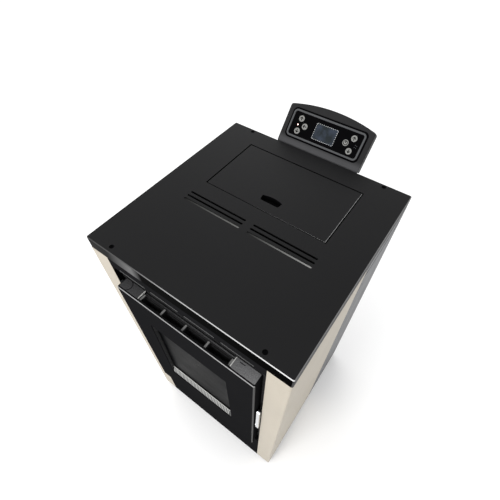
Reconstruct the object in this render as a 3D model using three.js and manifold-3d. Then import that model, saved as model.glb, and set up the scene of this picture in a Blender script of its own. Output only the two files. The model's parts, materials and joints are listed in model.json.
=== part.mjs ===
// A pellet stove: sheet steel casing with painted front corners, a glazed cast door, a hopper with
// a lift-up lid, an auger feed, exhaust and room fans, and a control panel that leans back behind the top.
// Millimetres. X runs to the right, Y to the back and Z up. The casing's front face is y = 0 and the
// floor is z = 0; the last lines centre the stove over its own footprint.

import * as THREE from "three";
import { mergeVertices } from "three/addons/utils/BufferGeometryUtils.js";
import Module from "manifold-3d";

const wasm = await Module();
wasm.setup();

// ---------- Driving dimensions ----------

// Casing
const WIDTH = 500;
const DEPTH = 509;
const BODY_HEIGHT = 916;
const FOOT_HEIGHT = 14;
const SHEET = 2; // casing sheet
const SEAT = 0.3; // gap between two pieces that rest on each other
const LIP = 33; // folded edge of the top cover
const CORNER_RADIUS = 4;
const TRAY_HEIGHT = 25; // folded edge of the base plate
const STRIP_WIDTH = 50; // painted strip beside the door
const PAINTED_DEPTH = 290; // painted part of each side, from the front
const PANEL_FLANGE = 12; // folded edges of the side panels
const SIDE_VENT_DROP = 33; // from the lip down to the vent in the rear side panel
const SIDE_VENT_HEIGHT = 10;
const SIDE_VENT_MARGIN = 8;
const CHASSIS_INSET = 85; // from a side of the casing to the space between the upright plates

// Feet
const FOOT_RADIUS = 22;
const FOOT_PAD = 8;
const FOOT_STEM_RADIUS = 6;
const FOOT_INSET = 45;

// Slots and screws of the top cover
const TOP_SLOT_INSET = 86; // from a side of the casing to a slot's end
const TOP_SLOT_WIDTH = 5;
const TOP_SLOT_PITCH = 12;
const TOP_SLOT_ROWS = 3;
const TOP_SLOT_SETBACK = 70.2; // front row, in front of the lid
const TOP_SLOT_MIDDLE_GAP = 20; // between the left and right groups
const SCREW_INSET = 64;
const SCREW_FRONT = 13;
const SCREW_REAR = 10;
const SCREW_HEAD_RADIUS = 4;
const SCREW_SHANK_RADIUS = 2;
const SCREW_LENGTH = 12;

// Hopper lid
const LID_SIDE_INSET = 10; // from the hopper's outer sides to the lid's
const LID_FRONT_INSET = 19.5; // from the hopper's front
const LID_REAR_INSET = 23; // from the hopper's back
const LID_GAP = 3; // at the sides and the back
const LID_FRONT_GAP = 1.5;
const LID_FLANGE = 8;
const LID_AXIS_INSET = 8; // hinge axis, from the lid's back edge
const LID_AXIS_DROP = 12; // hinge axis, below the top
const LID_PIN_RADIUS = 2.5;
const LID_PIN_INSET = 35; // from the lid's side to the pin's end
const PIN_CLEARANCE = 0.3;
const KNUCKLE_WALL = 2.5;
const LID_KNUCKLE_INSET = 12; // from a pin end to the knuckle
const LID_KNUCKLE_LENGTH = 14;
const RECESS_INSET = 25.8; // from the lid's front edge
const RECESS_LENGTH = 22.7;
const RECESS_MOUTH = 47; // width at its straight front edge
const RECESS_WIDTH = 52;
const RECESS_DEPTH = 14;
const CUP_WALL = 2;

// Hopper
const HOPPER_WALL = 2;
const HOPPER_FRONT_GAP = 9; // behind the firebox
const HOPPER_REAR_GAP = 37; // in front of the casing's back
const HOPPER_STRAIGHT = 168; // height of the straight upper walls
const THROAT_HALF_WIDTH = 24;
const THROAT_FRONT_INSET = 74; // from the auger tube's front end
const THROAT_REAR_INSET = 38; // from its rear end
const EAR_THICKNESS = 3;
const EAR_ARM_HEIGHT = 8;
const EAR_CLEARANCE = 2; // under the lid's sweep
const THROAT_RISE = 6; // throat's upper end above the auger tube

// Auger
const AUGER_HEIGHT = 600;
const AUGER_TUBE_RADIUS = 30;
const AUGER_TUBE_WALL = 3;
const AUGER_FRONT_GAP = 7; // auger tube's front end behind the firebox
const AUGER_SHAFT_RADIUS = 7;
const AUGER_RUN_CLEARANCE = 1.2;
const AUGER_PITCH = 38;
const FLIGHT_THICKNESS = 3;
const FEED_MARGIN = 4; // auger tube's upper opening inside the throat
const FLIGHT_END_GAP = 2;
const GEARBOX_SIZE = 70;
const GEARBOX_DEPTH = 22;
const GEARBOX_DROP = 14; // its middle below the auger
const GEARMOTOR_RADIUS = 26;
const GEARMOTOR_LENGTH = 32;
const GEARMOTOR_GAP = 10.7; // to the back panel

// Drop chute
const CHUTE_HALF_WIDTH = 27;
const CHUTE_HEIGHT = 50;
const CHUTE_WALL = 2;
const CHUTE_SETBACK = 4; // chute's upper mouth behind the auger tube's front end
const CHUTE_REACH = 22; // how far the chute stands out in front of the fire back

// Firebox
const FRONT_PLATE = 14; // front plate's face behind the casing's front
const BOX_WALL = 4;
const BOX_REAR_SPACE = 264; // behind the firebox, for the feed, the fan and the flue
const BOX_BOTTOM = 268;
const BOX_TOP = 740;
const FRONT_PLATE_INSET = 35; // from the casing's sides
const PLATE_OVERLAP = 8; // front plate below the door
const MOUTH_MARGIN = 30; // from the door casting's sides
const MOUTH_TOP = 725;
const SHELF_HEIGHT = 361;
const FIRE_BACK_THICKNESS = 9;
const FIRE_BACK_INSET = 10; // from the firebox's outer sides
const FIRE_BACK_TOP = 680;
const FIRE_RIBS = 7;
const FIRE_RIB = 4;
const FIRE_RIB_INSET = 10; // rib ends inside the plate's ends
const BAFFLE_HEIGHT = 690;
const BAFFLE_THICKNESS = 12;
const BAFFLE_FRONT = 62;
const POT_HALF_WIDTH = 48;
const POT_REAR_GAP = 69; // behind the pot, to the firebox's back
const POT_WALL = 4;
const POT_RISE = 44; // above the shelf
const POT_DROP = 12; // below the shelf
const POT_RIM = 8;
const POT_HOLE_RADIUS = 3;
const POT_HOLES = 3; // each way
const ASH_PAN_CLEARANCE = 6; // to the sides of the firebox mouth
const ASH_PAN_HEIGHT = 70;
const ASH_PAN_WALL = 1.5;
const ASH_GRIP = 12;
const ASH_PAN_GAP = 2; // behind the front plate

// Fronts above and below the door
const UPPER_STRIP = 28.5; // height of the slotted strip under the lip
const FRONT_SLOTS = 4;
const FRONT_SLOT_INSET = 25.75; // from the opening's sides to the first and last slot
const FRONT_SLOT_HEIGHT = 5;
const FRONT_SLOT_RIB = 13.5; // between two slots
const FRONT_SLOT_RISE = 2.5; // above the strip's lower edge

// Door
const DOOR_SIDE_GAP = 13; // between the door and a painted strip
const DOOR_PROUD = 16; // door face in front of the casing
const DOOR_TOP_DROP = 112; // from the top of the stove down to the door
const DOOR_HEIGHT = 560;
const DOOR_BACK_GAP = 1; // door's folded edge to the front plate
const DOOR_CORNER = 4;
const DOOR_MARGIN = 17; // from the skin's edge to the casting
const WINDOW_MARGIN = 57; // from the casting's sides
const WINDOW_TOP_DROP = 103; // from the door's top
const WINDOW_HEIGHT = 325;
const VENT_MARGIN = 45; // from the casting's sides to the air opening along the door's top edge
const VENT_FRONT = 6; // from the door's face
const VENT_POCKETS = 4;
const VENT_RIB = 7;
const VENT_DEPTH = 45;
const VENT_BACK_WALL = 2;
const CASTING_DROP = 4; // casting's top below the skin's top
const CASTING_BACK_GAP = 6; // casting to the front plate, taken up by the rope
const GLASS_THICKNESS = 5;
const GLASS_RECESS = 11; // glass face behind the door's face
const REBATE = 6; // how far glass and retainer reach past the window
const RETAINER_THICKNESS = 3;
const RETAINER_WIDTH = 9;
const SILL_DEPTH = 9;
const SILL_FRONT_HEIGHT = 5;
const SILL_HEIGHT = 32;
const ROPE_WIDTH = 11;
const ROPE_MARGIN = 8; // from the firebox mouth
const FRAME_CORNER = 2; // small corners of the rope and the retainer

// Door hinges
const DOOR_PIN_RADIUS = 3;
const DOOR_PIN_OUT = 7.5; // pin axis beyond the door's left edge
const DOOR_PIN_BACK = 3; // pin axis behind the casing's front
const DOOR_KNUCKLE_RADIUS = 5;
const DOOR_KNUCKLE_LENGTH = 22;
const DOOR_KNUCKLE_INSET = 8; // from the door's top and bottom edges
const HINGE_LUG = 6;
const PIN_END = 2; // pin past its lug, and short of its knuckle's upper end
const PIN_HEAD = 2;

// Door handle
const HANDLE_THICKNESS = 8;
const HANDLE_GAP = 3.5; // door edge to handle
const HANDLE_DEPTH = 11;
const HANDLE_LENGTH = 150;
const HANDLE_TOP_DROP = 195; // handle's top end below the door's top
const HANDLE_PIVOT_RISE = 12; // pivot above the handle's lower end
const HANDLE_BACK = 2; // handle's rear face behind the casing's front
const HANDLE_SHAFT_RADIUS = 4;
const HANDLE_SHAFT_CLEARANCE = 0.4;
const CAM_THICKNESS = 6;
const CAM_LENGTH = 24;
const CAM_RADIUS = 7;
const CAM_BELOW = 3; // tongue's lower edge under the pivot
const CAM_ABOVE = 2;
const CAM_TURN = 70; // degrees from released to latched
const CAM_NOSE = 7;
const CAM_SIDE_GAP = 2; // to the door's edge and to the sides of its slot
const CAM_TOP_GAP = 1; // latched tongue to the top of its slot

// Control panel, in its own frame: u to the right, v up the face, n out of the face
const PANEL_SLOPE = 51.2; // degrees between the face and the horizontal
const PANEL_HALF_WIDTH = 114.5;
const PANEL_SIDE_HEIGHT = 96;
const PANEL_ARCH = 15;
const PANEL_CORNER = 9;
const PANEL_DEPTH = 22;
const PANEL_FOOT_HALF_WIDTH = 80;
const PANEL_FOOT_HEIGHT = 50;
const PANEL_FOOT_DEPTH = 14;
const PANEL_FOOT_DROP = 2; // foot's shoulders below the top
const PANEL_FOOT_RISE = 5; // its peak, inside the shell
const FASCIA_HALF_WIDTH = 92;
const FASCIA_HEIGHT = 55;
const FASCIA_RISE = 27;
const FASCIA_CORNER = 4;
const FASCIA_THICKNESS = 3;
const POCKET_DEPTH = 8;
const BEZEL_WIDTH = 6;
const BEZEL_HEIGHT = 2.4;
const LCD_WIDTH = 59;
const LCD_HEIGHT = 40;
const BUTTON_RADIUS = 7.5;
const BUTTON_THICKNESS = 4;
const BUTTON_PROUD = 0.6;
const BUTTON_OUTER = 72.2; // upper and lower buttons, from the middle
const BUTTON_INNER = 56.6; // middle button
const BUTTON_SPREAD = 15.6; // upper and lower buttons, from the middle one's height

// Exhaust fan and flue
const FAN_INSET = 85; // from the right chassis plate
const FAN_REAR_GAP = 139; // fan's axis in front of the casing's back
const FAN_HEIGHT = 150;
const FAN_RADIUS = 75;
const FAN_HALF_WIDTH = 42;
const FAN_WALL = 4;
const FAN_BASE = 46; // length of the feet under the fan
const FAN_FOOT = 16; // their width
const FAN_OUTLET_HEIGHT = 82;
const SMOKE_DUCT_DEPTH = 82;
const SMOKE_DUCT_TOP = 345;
const SMOKE_MOUTH_HEIGHT = 52;
const SMOKE_DROP_DEPTH = 34; // upright part of the duct, front to back
const IMPELLER_RADIUS = 62;
const IMPELLER_BLADES = 8;
const IMPELLER_HUB = 12;
const IMPELLER_GAP = 8; // to the housing's inner sides
const IMPELLER_DISC = 3;
const IMPELLER_BLADE = 2;
const FAN_SHAFT_RADIUS = 4;
const FAN_MOTOR_RADIUS = 36;
const FAN_MOTOR_LENGTH = 38;
const FLUE_RADIUS = 40;
const FLUE_WALL = 2;
const FLUE_REACH = 52; // behind the back panel
const FLUE_BEAD = 3;
const FLUE_BEAD_INSET = 12; // from the pipe's end
const FLUE_SLEEVE = 26; // length of the pipe in front of the back panel

// Air inlet
const AIR_INSET = 75; // from the left chassis plate
const AIR_HEIGHT = 312;
const AIR_RADIUS = 25;
const AIR_WALL = 2;
const AIR_REACH = 30;

// Room fan
const BLOWER_INSET = 25; // from the chassis plates
const BLOWER_FRONT = 60;
const BLOWER_DEPTH = 116;
const BLOWER_HEIGHT = 150;
const BLOWER_WALL = 2;
const BLOWER_SILL = 10; // floor to the front intake
const ROTOR_RADIUS = 42;
const ROTOR_END_GAP = 14; // to the housing's outer sides
const ROTOR_BLADES = 8;
const ROTOR_BLADE = 3;
const ROTOR_BLADE_DEPTH = 11; // from the rim inwards
const ROTOR_DISC = 3;

// Back panel, electrics
const BACK_LOUVRES = 7;
const LOUVRE_WIDTH = 150;
const LOUVRE_HEIGHT = 6;
const LOUVRE_PITCH = 16;
const LOUVRE_BASE = 690;
const CONTROL_BOX = { depth: 120, height: 150, width: 32, rearGap: 59, base: 480 };
const INLET_INSET = 60; // from the casing's left side
const INLET_HEIGHT = 110;
const INLET_HALF_WIDTH = 14;
const INLET_HALF_HEIGHT = 29;
const INLET_FLANGE = 5;
const INLET_DEPTH = 24;
const INLET_WALL = 2;
const SOCKET_DEPTH = 16;
const SWITCH_HALF_WIDTH = 6.5;
const SWITCH_HALF_HEIGHT = 10;
const SWITCH_TILT = 7; // degrees to each side
const SWITCH_THICKNESS = 9;
const SWITCH_AXLE_RADIUS = 1.5;
const SWITCH_CLEARANCE = 1; // to the sides of its well
const INLET_FLANGE_THICKNESS = 3;
const SOCKET_TOP = 4; // socket's upper edge above the inlet's middle
const SOCKET_PINS = [[-5, -3], [0, 3], [5, -3]]; // across and up, from the socket's middle
const SOCKET_PIN_HALF_WIDTH = 1;
const SOCKET_PIN_HALF_HEIGHT = 2;
const SOCKET_PIN_SETBACK = 4; // pin ends behind the face

// ---------- Heights and places worked out from them ----------

const TOP = FOOT_HEIGHT + BODY_HEIGHT;
const HALF = WIDTH / 2;
const LIP_BOTTOM = TOP - LIP;
const INSIDE = SHEET + SEAT; // from a casing face to a piece behind it
const TRAY_FLOOR = FOOT_HEIGHT + SHEET;
const TRAY_REAR = DEPTH - 2 * INSIDE;
const OPENING_HALF = HALF - STRIP_WIDTH; // half the front opening between the painted strips
const CHASSIS_HALF_WIDTH = HALF - CHASSIS_INSET; // half the space between the upright chassis plates
const FRONT_PLATE_HALF_WIDTH = HALF - FRONT_PLATE_INSET;
const DOOR_HALF_WIDTH = OPENING_HALF - DOOR_SIDE_GAP;
const DOOR_TOP = TOP - DOOR_TOP_DROP;
const DOOR_BOTTOM = DOOR_TOP - DOOR_HEIGHT;
const PLATE_BOTTOM = DOOR_BOTTOM - PLATE_OVERLAP;
const PLATE_BACK = FRONT_PLATE + BOX_WALL;
const MOUTH_BOTTOM = BOX_BOTTOM + BOX_WALL;
const BOX_REAR = DEPTH - BOX_REAR_SPACE;
const HOPPER_FRONT = BOX_REAR + HOPPER_FRONT_GAP;
const HOPPER_REAR = DEPTH - HOPPER_REAR_GAP;
const LID_HALF_WIDTH = CHASSIS_HALF_WIDTH - LID_SIDE_INSET;
const LID_PIN_HALF_LENGTH = LID_HALF_WIDTH - LID_PIN_INSET;
const LID_FRONT = HOPPER_FRONT + LID_FRONT_INSET;
const LID_REAR = HOPPER_REAR - LID_REAR_INSET;
const RECESS_FRONT = LID_FRONT + RECESS_INSET;
const TOP_SLOT_FRONT = LID_FRONT - TOP_SLOT_SETBACK;
const TOP_SLOT_LENGTH = HALF - TOP_SLOT_INSET - TOP_SLOT_MIDDLE_GAP / 2;
const FRONT_SLOT_PITCH = (2 * (OPENING_HALF - FRONT_SLOT_INSET) + FRONT_SLOT_RIB) / FRONT_SLOTS;
const FRONT_SLOT_LENGTH = FRONT_SLOT_PITCH - FRONT_SLOT_RIB;
const LID_AXIS_Y = LID_REAR - LID_AXIS_INSET;
const LID_AXIS_Z = TOP - LID_AXIS_DROP;
const GEARMOTOR_REAR = DEPTH - SHEET - GEARMOTOR_GAP;
const AUGER_FRONT = BOX_REAR + AUGER_FRONT_GAP;
const AUGER_REAR = GEARMOTOR_REAR - GEARMOTOR_LENGTH - GEARBOX_DEPTH - SEAT;
const THROAT_FRONT = AUGER_FRONT + THROAT_FRONT_INSET;
const THROAT_REAR = AUGER_REAR - THROAT_REAR_INSET;
const CHUTE_TOP = AUGER_HEIGHT - AUGER_TUBE_RADIUS - SEAT;
const CHUTE_FRONT = BOX_REAR - BOX_WALL - FIRE_BACK_THICKNESS - CHUTE_REACH;
const CHUTE_MOUTH_FRONT = AUGER_FRONT + CHUTE_SETBACK;
const SHELF_TOP = SHELF_HEIGHT + BOX_WALL;
const POT_REAR = BOX_REAR - POT_REAR_GAP;
const POT_FRONT = POT_REAR - 2 * POT_HALF_WIDTH;
const WINDOW_TOP = DOOR_TOP - WINDOW_TOP_DROP;
const WINDOW_BOTTOM = WINDOW_TOP - WINDOW_HEIGHT;
const DOOR_FACE = -DOOR_PROUD;
const DOOR_BACK = FRONT_PLATE - DOOR_BACK_GAP;
const DOOR_PIN_X = -DOOR_HALF_WIDTH - DOOR_PIN_OUT;
const GLASS_FACE = DOOR_FACE + GLASS_RECESS;
const CASTING_HALF_WIDTH = DOOR_HALF_WIDTH - DOOR_MARGIN;
const WINDOW_HALF_WIDTH = CASTING_HALF_WIDTH - WINDOW_MARGIN;
const VENT_HALF_WIDTH = CASTING_HALF_WIDTH - VENT_MARGIN;
const MOUTH_HALF_WIDTH = CASTING_HALF_WIDTH - MOUTH_MARGIN;
const FIRE_BACK_HALF_WIDTH = CHASSIS_HALF_WIDTH - FIRE_BACK_INSET;
const ASH_PAN_HALF_WIDTH = MOUTH_HALF_WIDTH - ASH_PAN_CLEARANCE;
const CASTING_BACK = FRONT_PLATE - CASTING_BACK_GAP;
const HANDLE_TOP = DOOR_TOP - HANDLE_TOP_DROP;
const HANDLE_PIVOT_Y = HANDLE_BACK - HANDLE_DEPTH / 2;
const HANDLE_PIVOT_Z = HANDLE_TOP - HANDLE_LENGTH + HANDLE_PIVOT_RISE;
const CAM_X = DOOR_HALF_WIDTH - SHEET - CAM_THICKNESS - CAM_SIDE_GAP;
const FAN_X = CHASSIS_HALF_WIDTH - FAN_INSET;
const FAN_Y = DEPTH - FAN_REAR_GAP;
const FLUE_HEIGHT = FAN_HEIGHT - FAN_RADIUS + FAN_OUTLET_HEIGHT / 2;
const FAN_OUTLET_REAR = DEPTH - SHEET - FLUE_SLEEVE;
const AIR_X = AIR_INSET - CHASSIS_HALF_WIDTH;
const INLET_X = INLET_INSET - HALF;
const BLOWER_HALF_WIDTH = CHASSIS_HALF_WIDTH - BLOWER_INSET;
const ROTOR_HALF_LENGTH = BLOWER_HALF_WIDTH - ROTOR_END_GAP;
const ROTOR_Y = BLOWER_FRONT + BLOWER_DEPTH / 2;
const ROTOR_Z = TRAY_FLOOR + SEAT + BLOWER_HEIGHT / 2;

// ---------- Looks ----------

const look = (colour, roughness, metalness) =>
  new THREE.MeshStandardMaterial({ color: colour, roughness, metalness });
const BLACK_COAT = look(0x2a2a2c, 0.55, 0.2);
const CREAM_COAT = look(0xe9e1d0, 0.5, 0.1);
const ZINC_SHEET = look(0x8e9296, 0.45, 0.8);
const BLACK_IRON = look(0x2c2c2e, 0.8, 0.4);
const BARE_STEEL = look(0xa9acae, 0.4, 0.9);
const DARK_GLASS = look(0x14161a, 0.08, 0);
const CHROME = look(0xd5d7d9, 0.12, 1);
const DARK_ABS = look(0x3b3b3d, 0.7, 0);
const GREY_ABS = look(0x58595b, 0.6, 0);
const GLOSS_BLACK = look(0x060607, 0.12, 0);
const LCD_GLASS = look(0x39424f, 0.2, 0);
const KEY_PRINT = look(0xd9d9d6, 0.4, 0);
const BLACK_RUBBER = look(0x1b1b1c, 0.9, 0);
const GLASS_ROPE = look(0x6d6c68, 0.95, 0);
const REFRACTORY = look(0xb9ad98, 0.95, 0);

// ---------- Shapes ----------

const X = new THREE.Vector3(1, 0, 0);
const Y = new THREE.Vector3(0, 1, 0);
const Z = new THREE.Vector3(0, 0, 1);
const radians = THREE.MathUtils.degToRad;
const ARCH_STEPS = 10; // facets of the control panel's arched top
const CURVE_STEPS = 3; // facets of a rounded corner
const BUTTON_SIDES = 16;
const FLIGHT_STEPS = 10; // facets of the auger's flight in one turn
const ROUND_SIDES = 28; // facets of the larger round pieces
const SMALL_SIDES = 12; // facets of the small round pieces
const count = (n) => Array.from({ length: n }, (_, i) => i);

// A box between two values along each axis.
function slab(x0, x1, y0, y1, z0, z1) {
  const box = new THREE.BoxGeometry(x1 - x0, y1 - y0, z1 - z0);
  return box.translate((x0 + x1) / 2, (y0 + y1) / 2, (z0 + z1) / 2);
}

function outlineOf(points) {
  return new THREE.Shape(points.map(([a, b]) => new THREE.Vector2(a, b)));
}

function extrude(outline, depth, curveSegments = CURVE_STEPS) {
  const shape = outline instanceof THREE.Shape ? outline : outlineOf(outline);
  return new THREE.ExtrudeGeometry(shape, { depth, bevelEnabled: false, curveSegments });
}

// A plan outline (x, y) raised from z0 to z1.
function prismZ(outline, z0, z1, steps) {
  return extrude(outline, z1 - z0, steps).translate(0, 0, z0);
}

// A side view outline (y, z) carried from x0 to x1.
function prismX(outline, x0, x1) {
  const turn = new THREE.Matrix4().makeBasis(Y, Z, X);
  return extrude(outline, x1 - x0).applyMatrix4(turn).translate(x0, 0, 0);
}

// A front view outline (x, z) carried from y0 to y1.
function prismY(outline, y0, y1) {
  const turn = new THREE.Matrix4().makeBasis(X, Z, Y.clone().negate());
  return extrude(outline, y1 - y0).applyMatrix4(turn).translate(0, y1, 0);
}

function roundedRect(a0, a1, b0, b1, radius) {
  const shape = new THREE.Shape();
  shape.absarc(a1 - radius, b1 - radius, radius, 0, Math.PI / 2);
  shape.absarc(a0 + radius, b1 - radius, radius, Math.PI / 2, Math.PI);
  shape.absarc(a0 + radius, b0 + radius, radius, Math.PI, 1.5 * Math.PI);
  shape.absarc(a1 - radius, b0 + radius, radius, 1.5 * Math.PI, 2 * Math.PI);
  return shape;
}

// A rounded rectangle with another one cut out of it.
function frameShape(outer, inner) {
  const shape = roundedRect(...outer);
  shape.holes.push(roundedRect(...inner));
  return shape;
}

// Round bars along each axis, given two ends and the place of the axis line.
function rodX(radius, x0, x1, y, z, sides = 20) {
  const bar = new THREE.CylinderGeometry(radius, radius, x1 - x0, sides);
  return bar.rotateZ(-Math.PI / 2).translate((x0 + x1) / 2, y, z);
}

function rodY(radius, y0, y1, x, z, sides = 20) {
  const bar = new THREE.CylinderGeometry(radius, radius, y1 - y0, sides);
  return bar.translate(x, (y0 + y1) / 2, z);
}

function rodZ(radius, z0, z1, x, y, sides = 20) {
  const bar = new THREE.CylinderGeometry(radius, radius, z1 - z0, sides);
  return bar.rotateX(Math.PI / 2).translate(x, y, (z0 + z1) / 2);
}

// The outline of a folded sheet: the path is its outer face and the wall lies to the right of it.
function foldedSheet(path, wall) {
  const points = path.map(([a, b]) => new THREE.Vector2(a, b));
  const inner = points.map((point, i) => {
    const before = points[Math.max(i - 1, 0)];
    const after = points[Math.min(i + 1, points.length - 1)];
    const into = i > 0 ? point.clone().sub(before).normalize() : after.clone().sub(point).normalize();
    const out = i < points.length - 1 ? after.clone().sub(point).normalize() : into.clone();
    const normal = new THREE.Vector2(into.y + out.y, -into.x - out.x).normalize();
    const reach = wall / Math.max(normal.dot(new THREE.Vector2(into.y, -into.x)), 0.2);
    return point.clone().addScaledVector(normal, reach);
  });
  return new THREE.Shape([...points, ...inner.reverse()]);
}

// Points of a quarter bend round (a, b), from one angle to another in degrees.
function bend(a, b, radius, start, end, steps = 4) {
  return count(steps + 1).map((i) => {
    const angle = radians(start + ((end - start) * i) / steps);
    return [a + radius * Math.cos(angle), b + radius * Math.sin(angle)];
  });
}

// A four-sided funnel solid between two rectangles, each {x, y0, y1, z}.
function funnel(low, high) {
  const ring = ({ x, y0, y1, z }) => [-x, y0, z, x, y0, z, x, y1, z, -x, y1, z];
  const sides = [0, 1, 2, 3].flatMap((i) => {
    const next = (i + 1) % 4;
    return [i, next, next + 4, i, next + 4, i + 4];
  });
  const solidFunnel = new THREE.BufferGeometry();
  const places = new Float32Array([...ring(low), ...ring(high)]);
  solidFunnel.setAttribute("position", new THREE.BufferAttribute(places, 3));
  solidFunnel.setIndex([0, 2, 1, 0, 3, 2, 4, 5, 6, 4, 6, 7, ...sides]);
  return solidFunnel;
}

// A screw flight along Y: a flat strip wound round the axis, closed at both ends.
function flight(inner, outer, pitch, length, wall, stepsPerTurn) {
  const steps = Math.round((length / pitch) * stepsPerTurn);
  const places = [];
  const faces = [];
  for (const i of count(steps + 1)) {
    const angle = (2 * Math.PI * i) / stepsPerTurn;
    const along = (length * i) / steps;
    for (const [radius, shift] of [[inner, 0], [outer, 0], [outer, wall], [inner, wall]]) {
      places.push(radius * Math.cos(angle), along + shift, radius * Math.sin(angle));
    }
  }
  for (const i of count(steps)) {
    for (const side of count(4)) {
      const a = 4 * i + side;
      const b = 4 * i + ((side + 1) % 4);
      faces.push(a, b, b + 4, a, b + 4, a + 4);
    }
  }
  const last = 4 * steps;
  faces.push(0, 2, 1, 0, 3, 2, last, last + 1, last + 2, last, last + 2, last + 3);
  const strip = new THREE.BufferGeometry();
  strip.setAttribute("position", new THREE.BufferAttribute(new Float32Array(places), 3));
  strip.setIndex(faces);
  return strip;
}

// ---------- Joins and cuts ----------

function solid(shape) {
  if (shape instanceof wasm.Manifold) return shape;
  const bare = shape.clone();
  bare.deleteAttribute("normal");
  bare.deleteAttribute("uv");
  const merged = mergeVertices(bare, 1e-4);
  const vertProperties = new Float32Array(merged.attributes.position.array);
  const triVerts = new Uint32Array(merged.index.array);
  return new wasm.Manifold(new wasm.Mesh({ numProp: 3, vertProperties, triVerts }));
}

const join = (...shapes) => shapes.map(solid).reduce((all, next) => all.add(next));
const cut = (shape, ...tools) => tools.map(solid).reduce((left, tool) => left.subtract(tool), solid(shape));
const tubeY = (radius, wall, y0, y1, x, z, sides = 20) =>
  cut(rodY(radius, y0, y1, x, z, sides), rodY(radius - wall, y0 - 1, y1 + 1, x, z, sides));

function piece(name, shape, finish) {
  const { vertProperties, triVerts } = solid(shape).getMesh();
  const geometry = new THREE.BufferGeometry();
  geometry.setAttribute("position", new THREE.BufferAttribute(vertProperties, 3));
  geometry.setIndex(new THREE.BufferAttribute(triVerts, 1));
  geometry.computeVertexNormals();
  const mesh = new THREE.Mesh(geometry, finish.clone());
  mesh.name = name;
  return mesh;
}

// ---------- Casing ----------

function basePlate() {
  const edge = HALF - PANEL_FLANGE - SEAT;
  const inner = edge - SHEET;
  const shell = slab(-edge, edge, FRONT_PLATE, TRAY_REAR, FOOT_HEIGHT, FOOT_HEIGHT + TRAY_HEIGHT);
  const hollow = slab(-inner, inner, FRONT_PLATE + SHEET, TRAY_REAR - SHEET, TRAY_FLOOR, TOP);
  return piece("base_plate", cut(shell, hollow), ZINC_SHEET);
}

function feet() {
  const profile = [
    [0, 0], [FOOT_RADIUS, 0], [FOOT_RADIUS, FOOT_PAD * 0.6], [FOOT_RADIUS * 0.6, FOOT_PAD],
    [FOOT_STEM_RADIUS, FOOT_PAD], [FOOT_STEM_RADIUS, FOOT_HEIGHT - SEAT], [0, FOOT_HEIGHT - SEAT],
  ];
  const lathe = new THREE.LatheGeometry(profile.map(([r, z]) => new THREE.Vector2(r, z)), 20);
  lathe.rotateX(Math.PI / 2);
  const corners = { front_left: [-1, 0], front_right: [1, 0], rear_left: [-1, 1], rear_right: [1, 1] };
  return Object.entries(corners).map(([corner, [side, rear]]) => {
    const foot = piece(`foot_${corner}`, lathe, BLACK_RUBBER);
    foot.position.set(side * (HALF - FOOT_INSET), rear ? DEPTH - FOOT_INSET : FOOT_INSET, 0);
    return foot;
  });
}

function chassisPlate(name, side) {
  const near = side * (CHASSIS_HALF_WIDTH + SEAT);
  const far = side * (CHASSIS_HALF_WIDTH + SEAT + SHEET);
  const rear = TRAY_REAR - INSIDE;
  const plate = slab(Math.min(near, far), Math.max(near, far), PLATE_BACK + SEAT, rear, TRAY_FLOOR + SEAT,
    TOP - INSIDE);
  return piece(name, plate, ZINC_SHEET);
}

function paintedPanel(name, side) {
  const corner = CORNER_RADIUS;
  const path = [
    [-OPENING_HALF, FRONT_PLATE - SEAT],
    [-OPENING_HALF, 0],
    ...bend(-HALF + corner, corner, corner, -90, -180),
    [-HALF, PAINTED_DEPTH],
    [-HALF + PANEL_FLANGE, PAINTED_DEPTH],
  ];
  const sheet = foldedSheet(path, SHEET).getPoints().map((p) => [side * -p.x, p.y]);
  return piece(name, prismZ(sheet, FOOT_HEIGHT, LIP_BOTTOM - SEAT), CREAM_COAT);
}

function rearPanel(name, side) {
  const front = PAINTED_DEPTH + SEAT;
  const rear = DEPTH - INSIDE;
  const path = [
    [-HALF + PANEL_FLANGE, front],
    [-HALF, front],
    [-HALF, rear],
    [-HALF + PANEL_FLANGE, rear],
  ];
  const sheet = foldedSheet(path, SHEET).getPoints().map((p) => [side * -p.x, p.y]);
  const ventTop = LIP_BOTTOM - SIDE_VENT_DROP;
  const vent = slab(-HALF - 1, HALF + 1, front + SHEET + SIDE_VENT_MARGIN, rear - SHEET - SIDE_VENT_MARGIN,
    ventTop - SIDE_VENT_HEIGHT, ventTop);
  return piece(name, cut(prismZ(sheet, FOOT_HEIGHT, LIP_BOTTOM - SEAT), vent), ZINC_SHEET);
}

function backPanel() {
  const sheet = slab(-HALF, HALF, DEPTH - SHEET, DEPTH, FOOT_HEIGHT, LIP_BOTTOM - SEAT);
  const through = [DEPTH - SHEET - 1, DEPTH + 1];
  const louvres = count(BACK_LOUVRES).map((i) => {
    const z = LOUVRE_BASE + i * LOUVRE_PITCH;
    return slab(-LOUVRE_WIDTH / 2, LOUVRE_WIDTH / 2, ...through, z, z + LOUVRE_HEIGHT);
  });
  const flueHole = rodY(FLUE_RADIUS + SEAT, ...through, FAN_X, FLUE_HEIGHT, ROUND_SIDES);
  const airHole = rodY(AIR_RADIUS + SEAT, ...through, AIR_X, AIR_HEIGHT);
  const halfWidth = INLET_HALF_WIDTH + SEAT;
  const halfHeight = INLET_HALF_HEIGHT + SEAT;
  const inletHole = slab(INLET_X - halfWidth, INLET_X + halfWidth, ...through,
    INLET_HEIGHT - halfHeight, INLET_HEIGHT + halfHeight);
  return piece("back_panel", cut(sheet, flueHole, airHole, inletHole, ...louvres), ZINC_SHEET);
}

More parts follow.
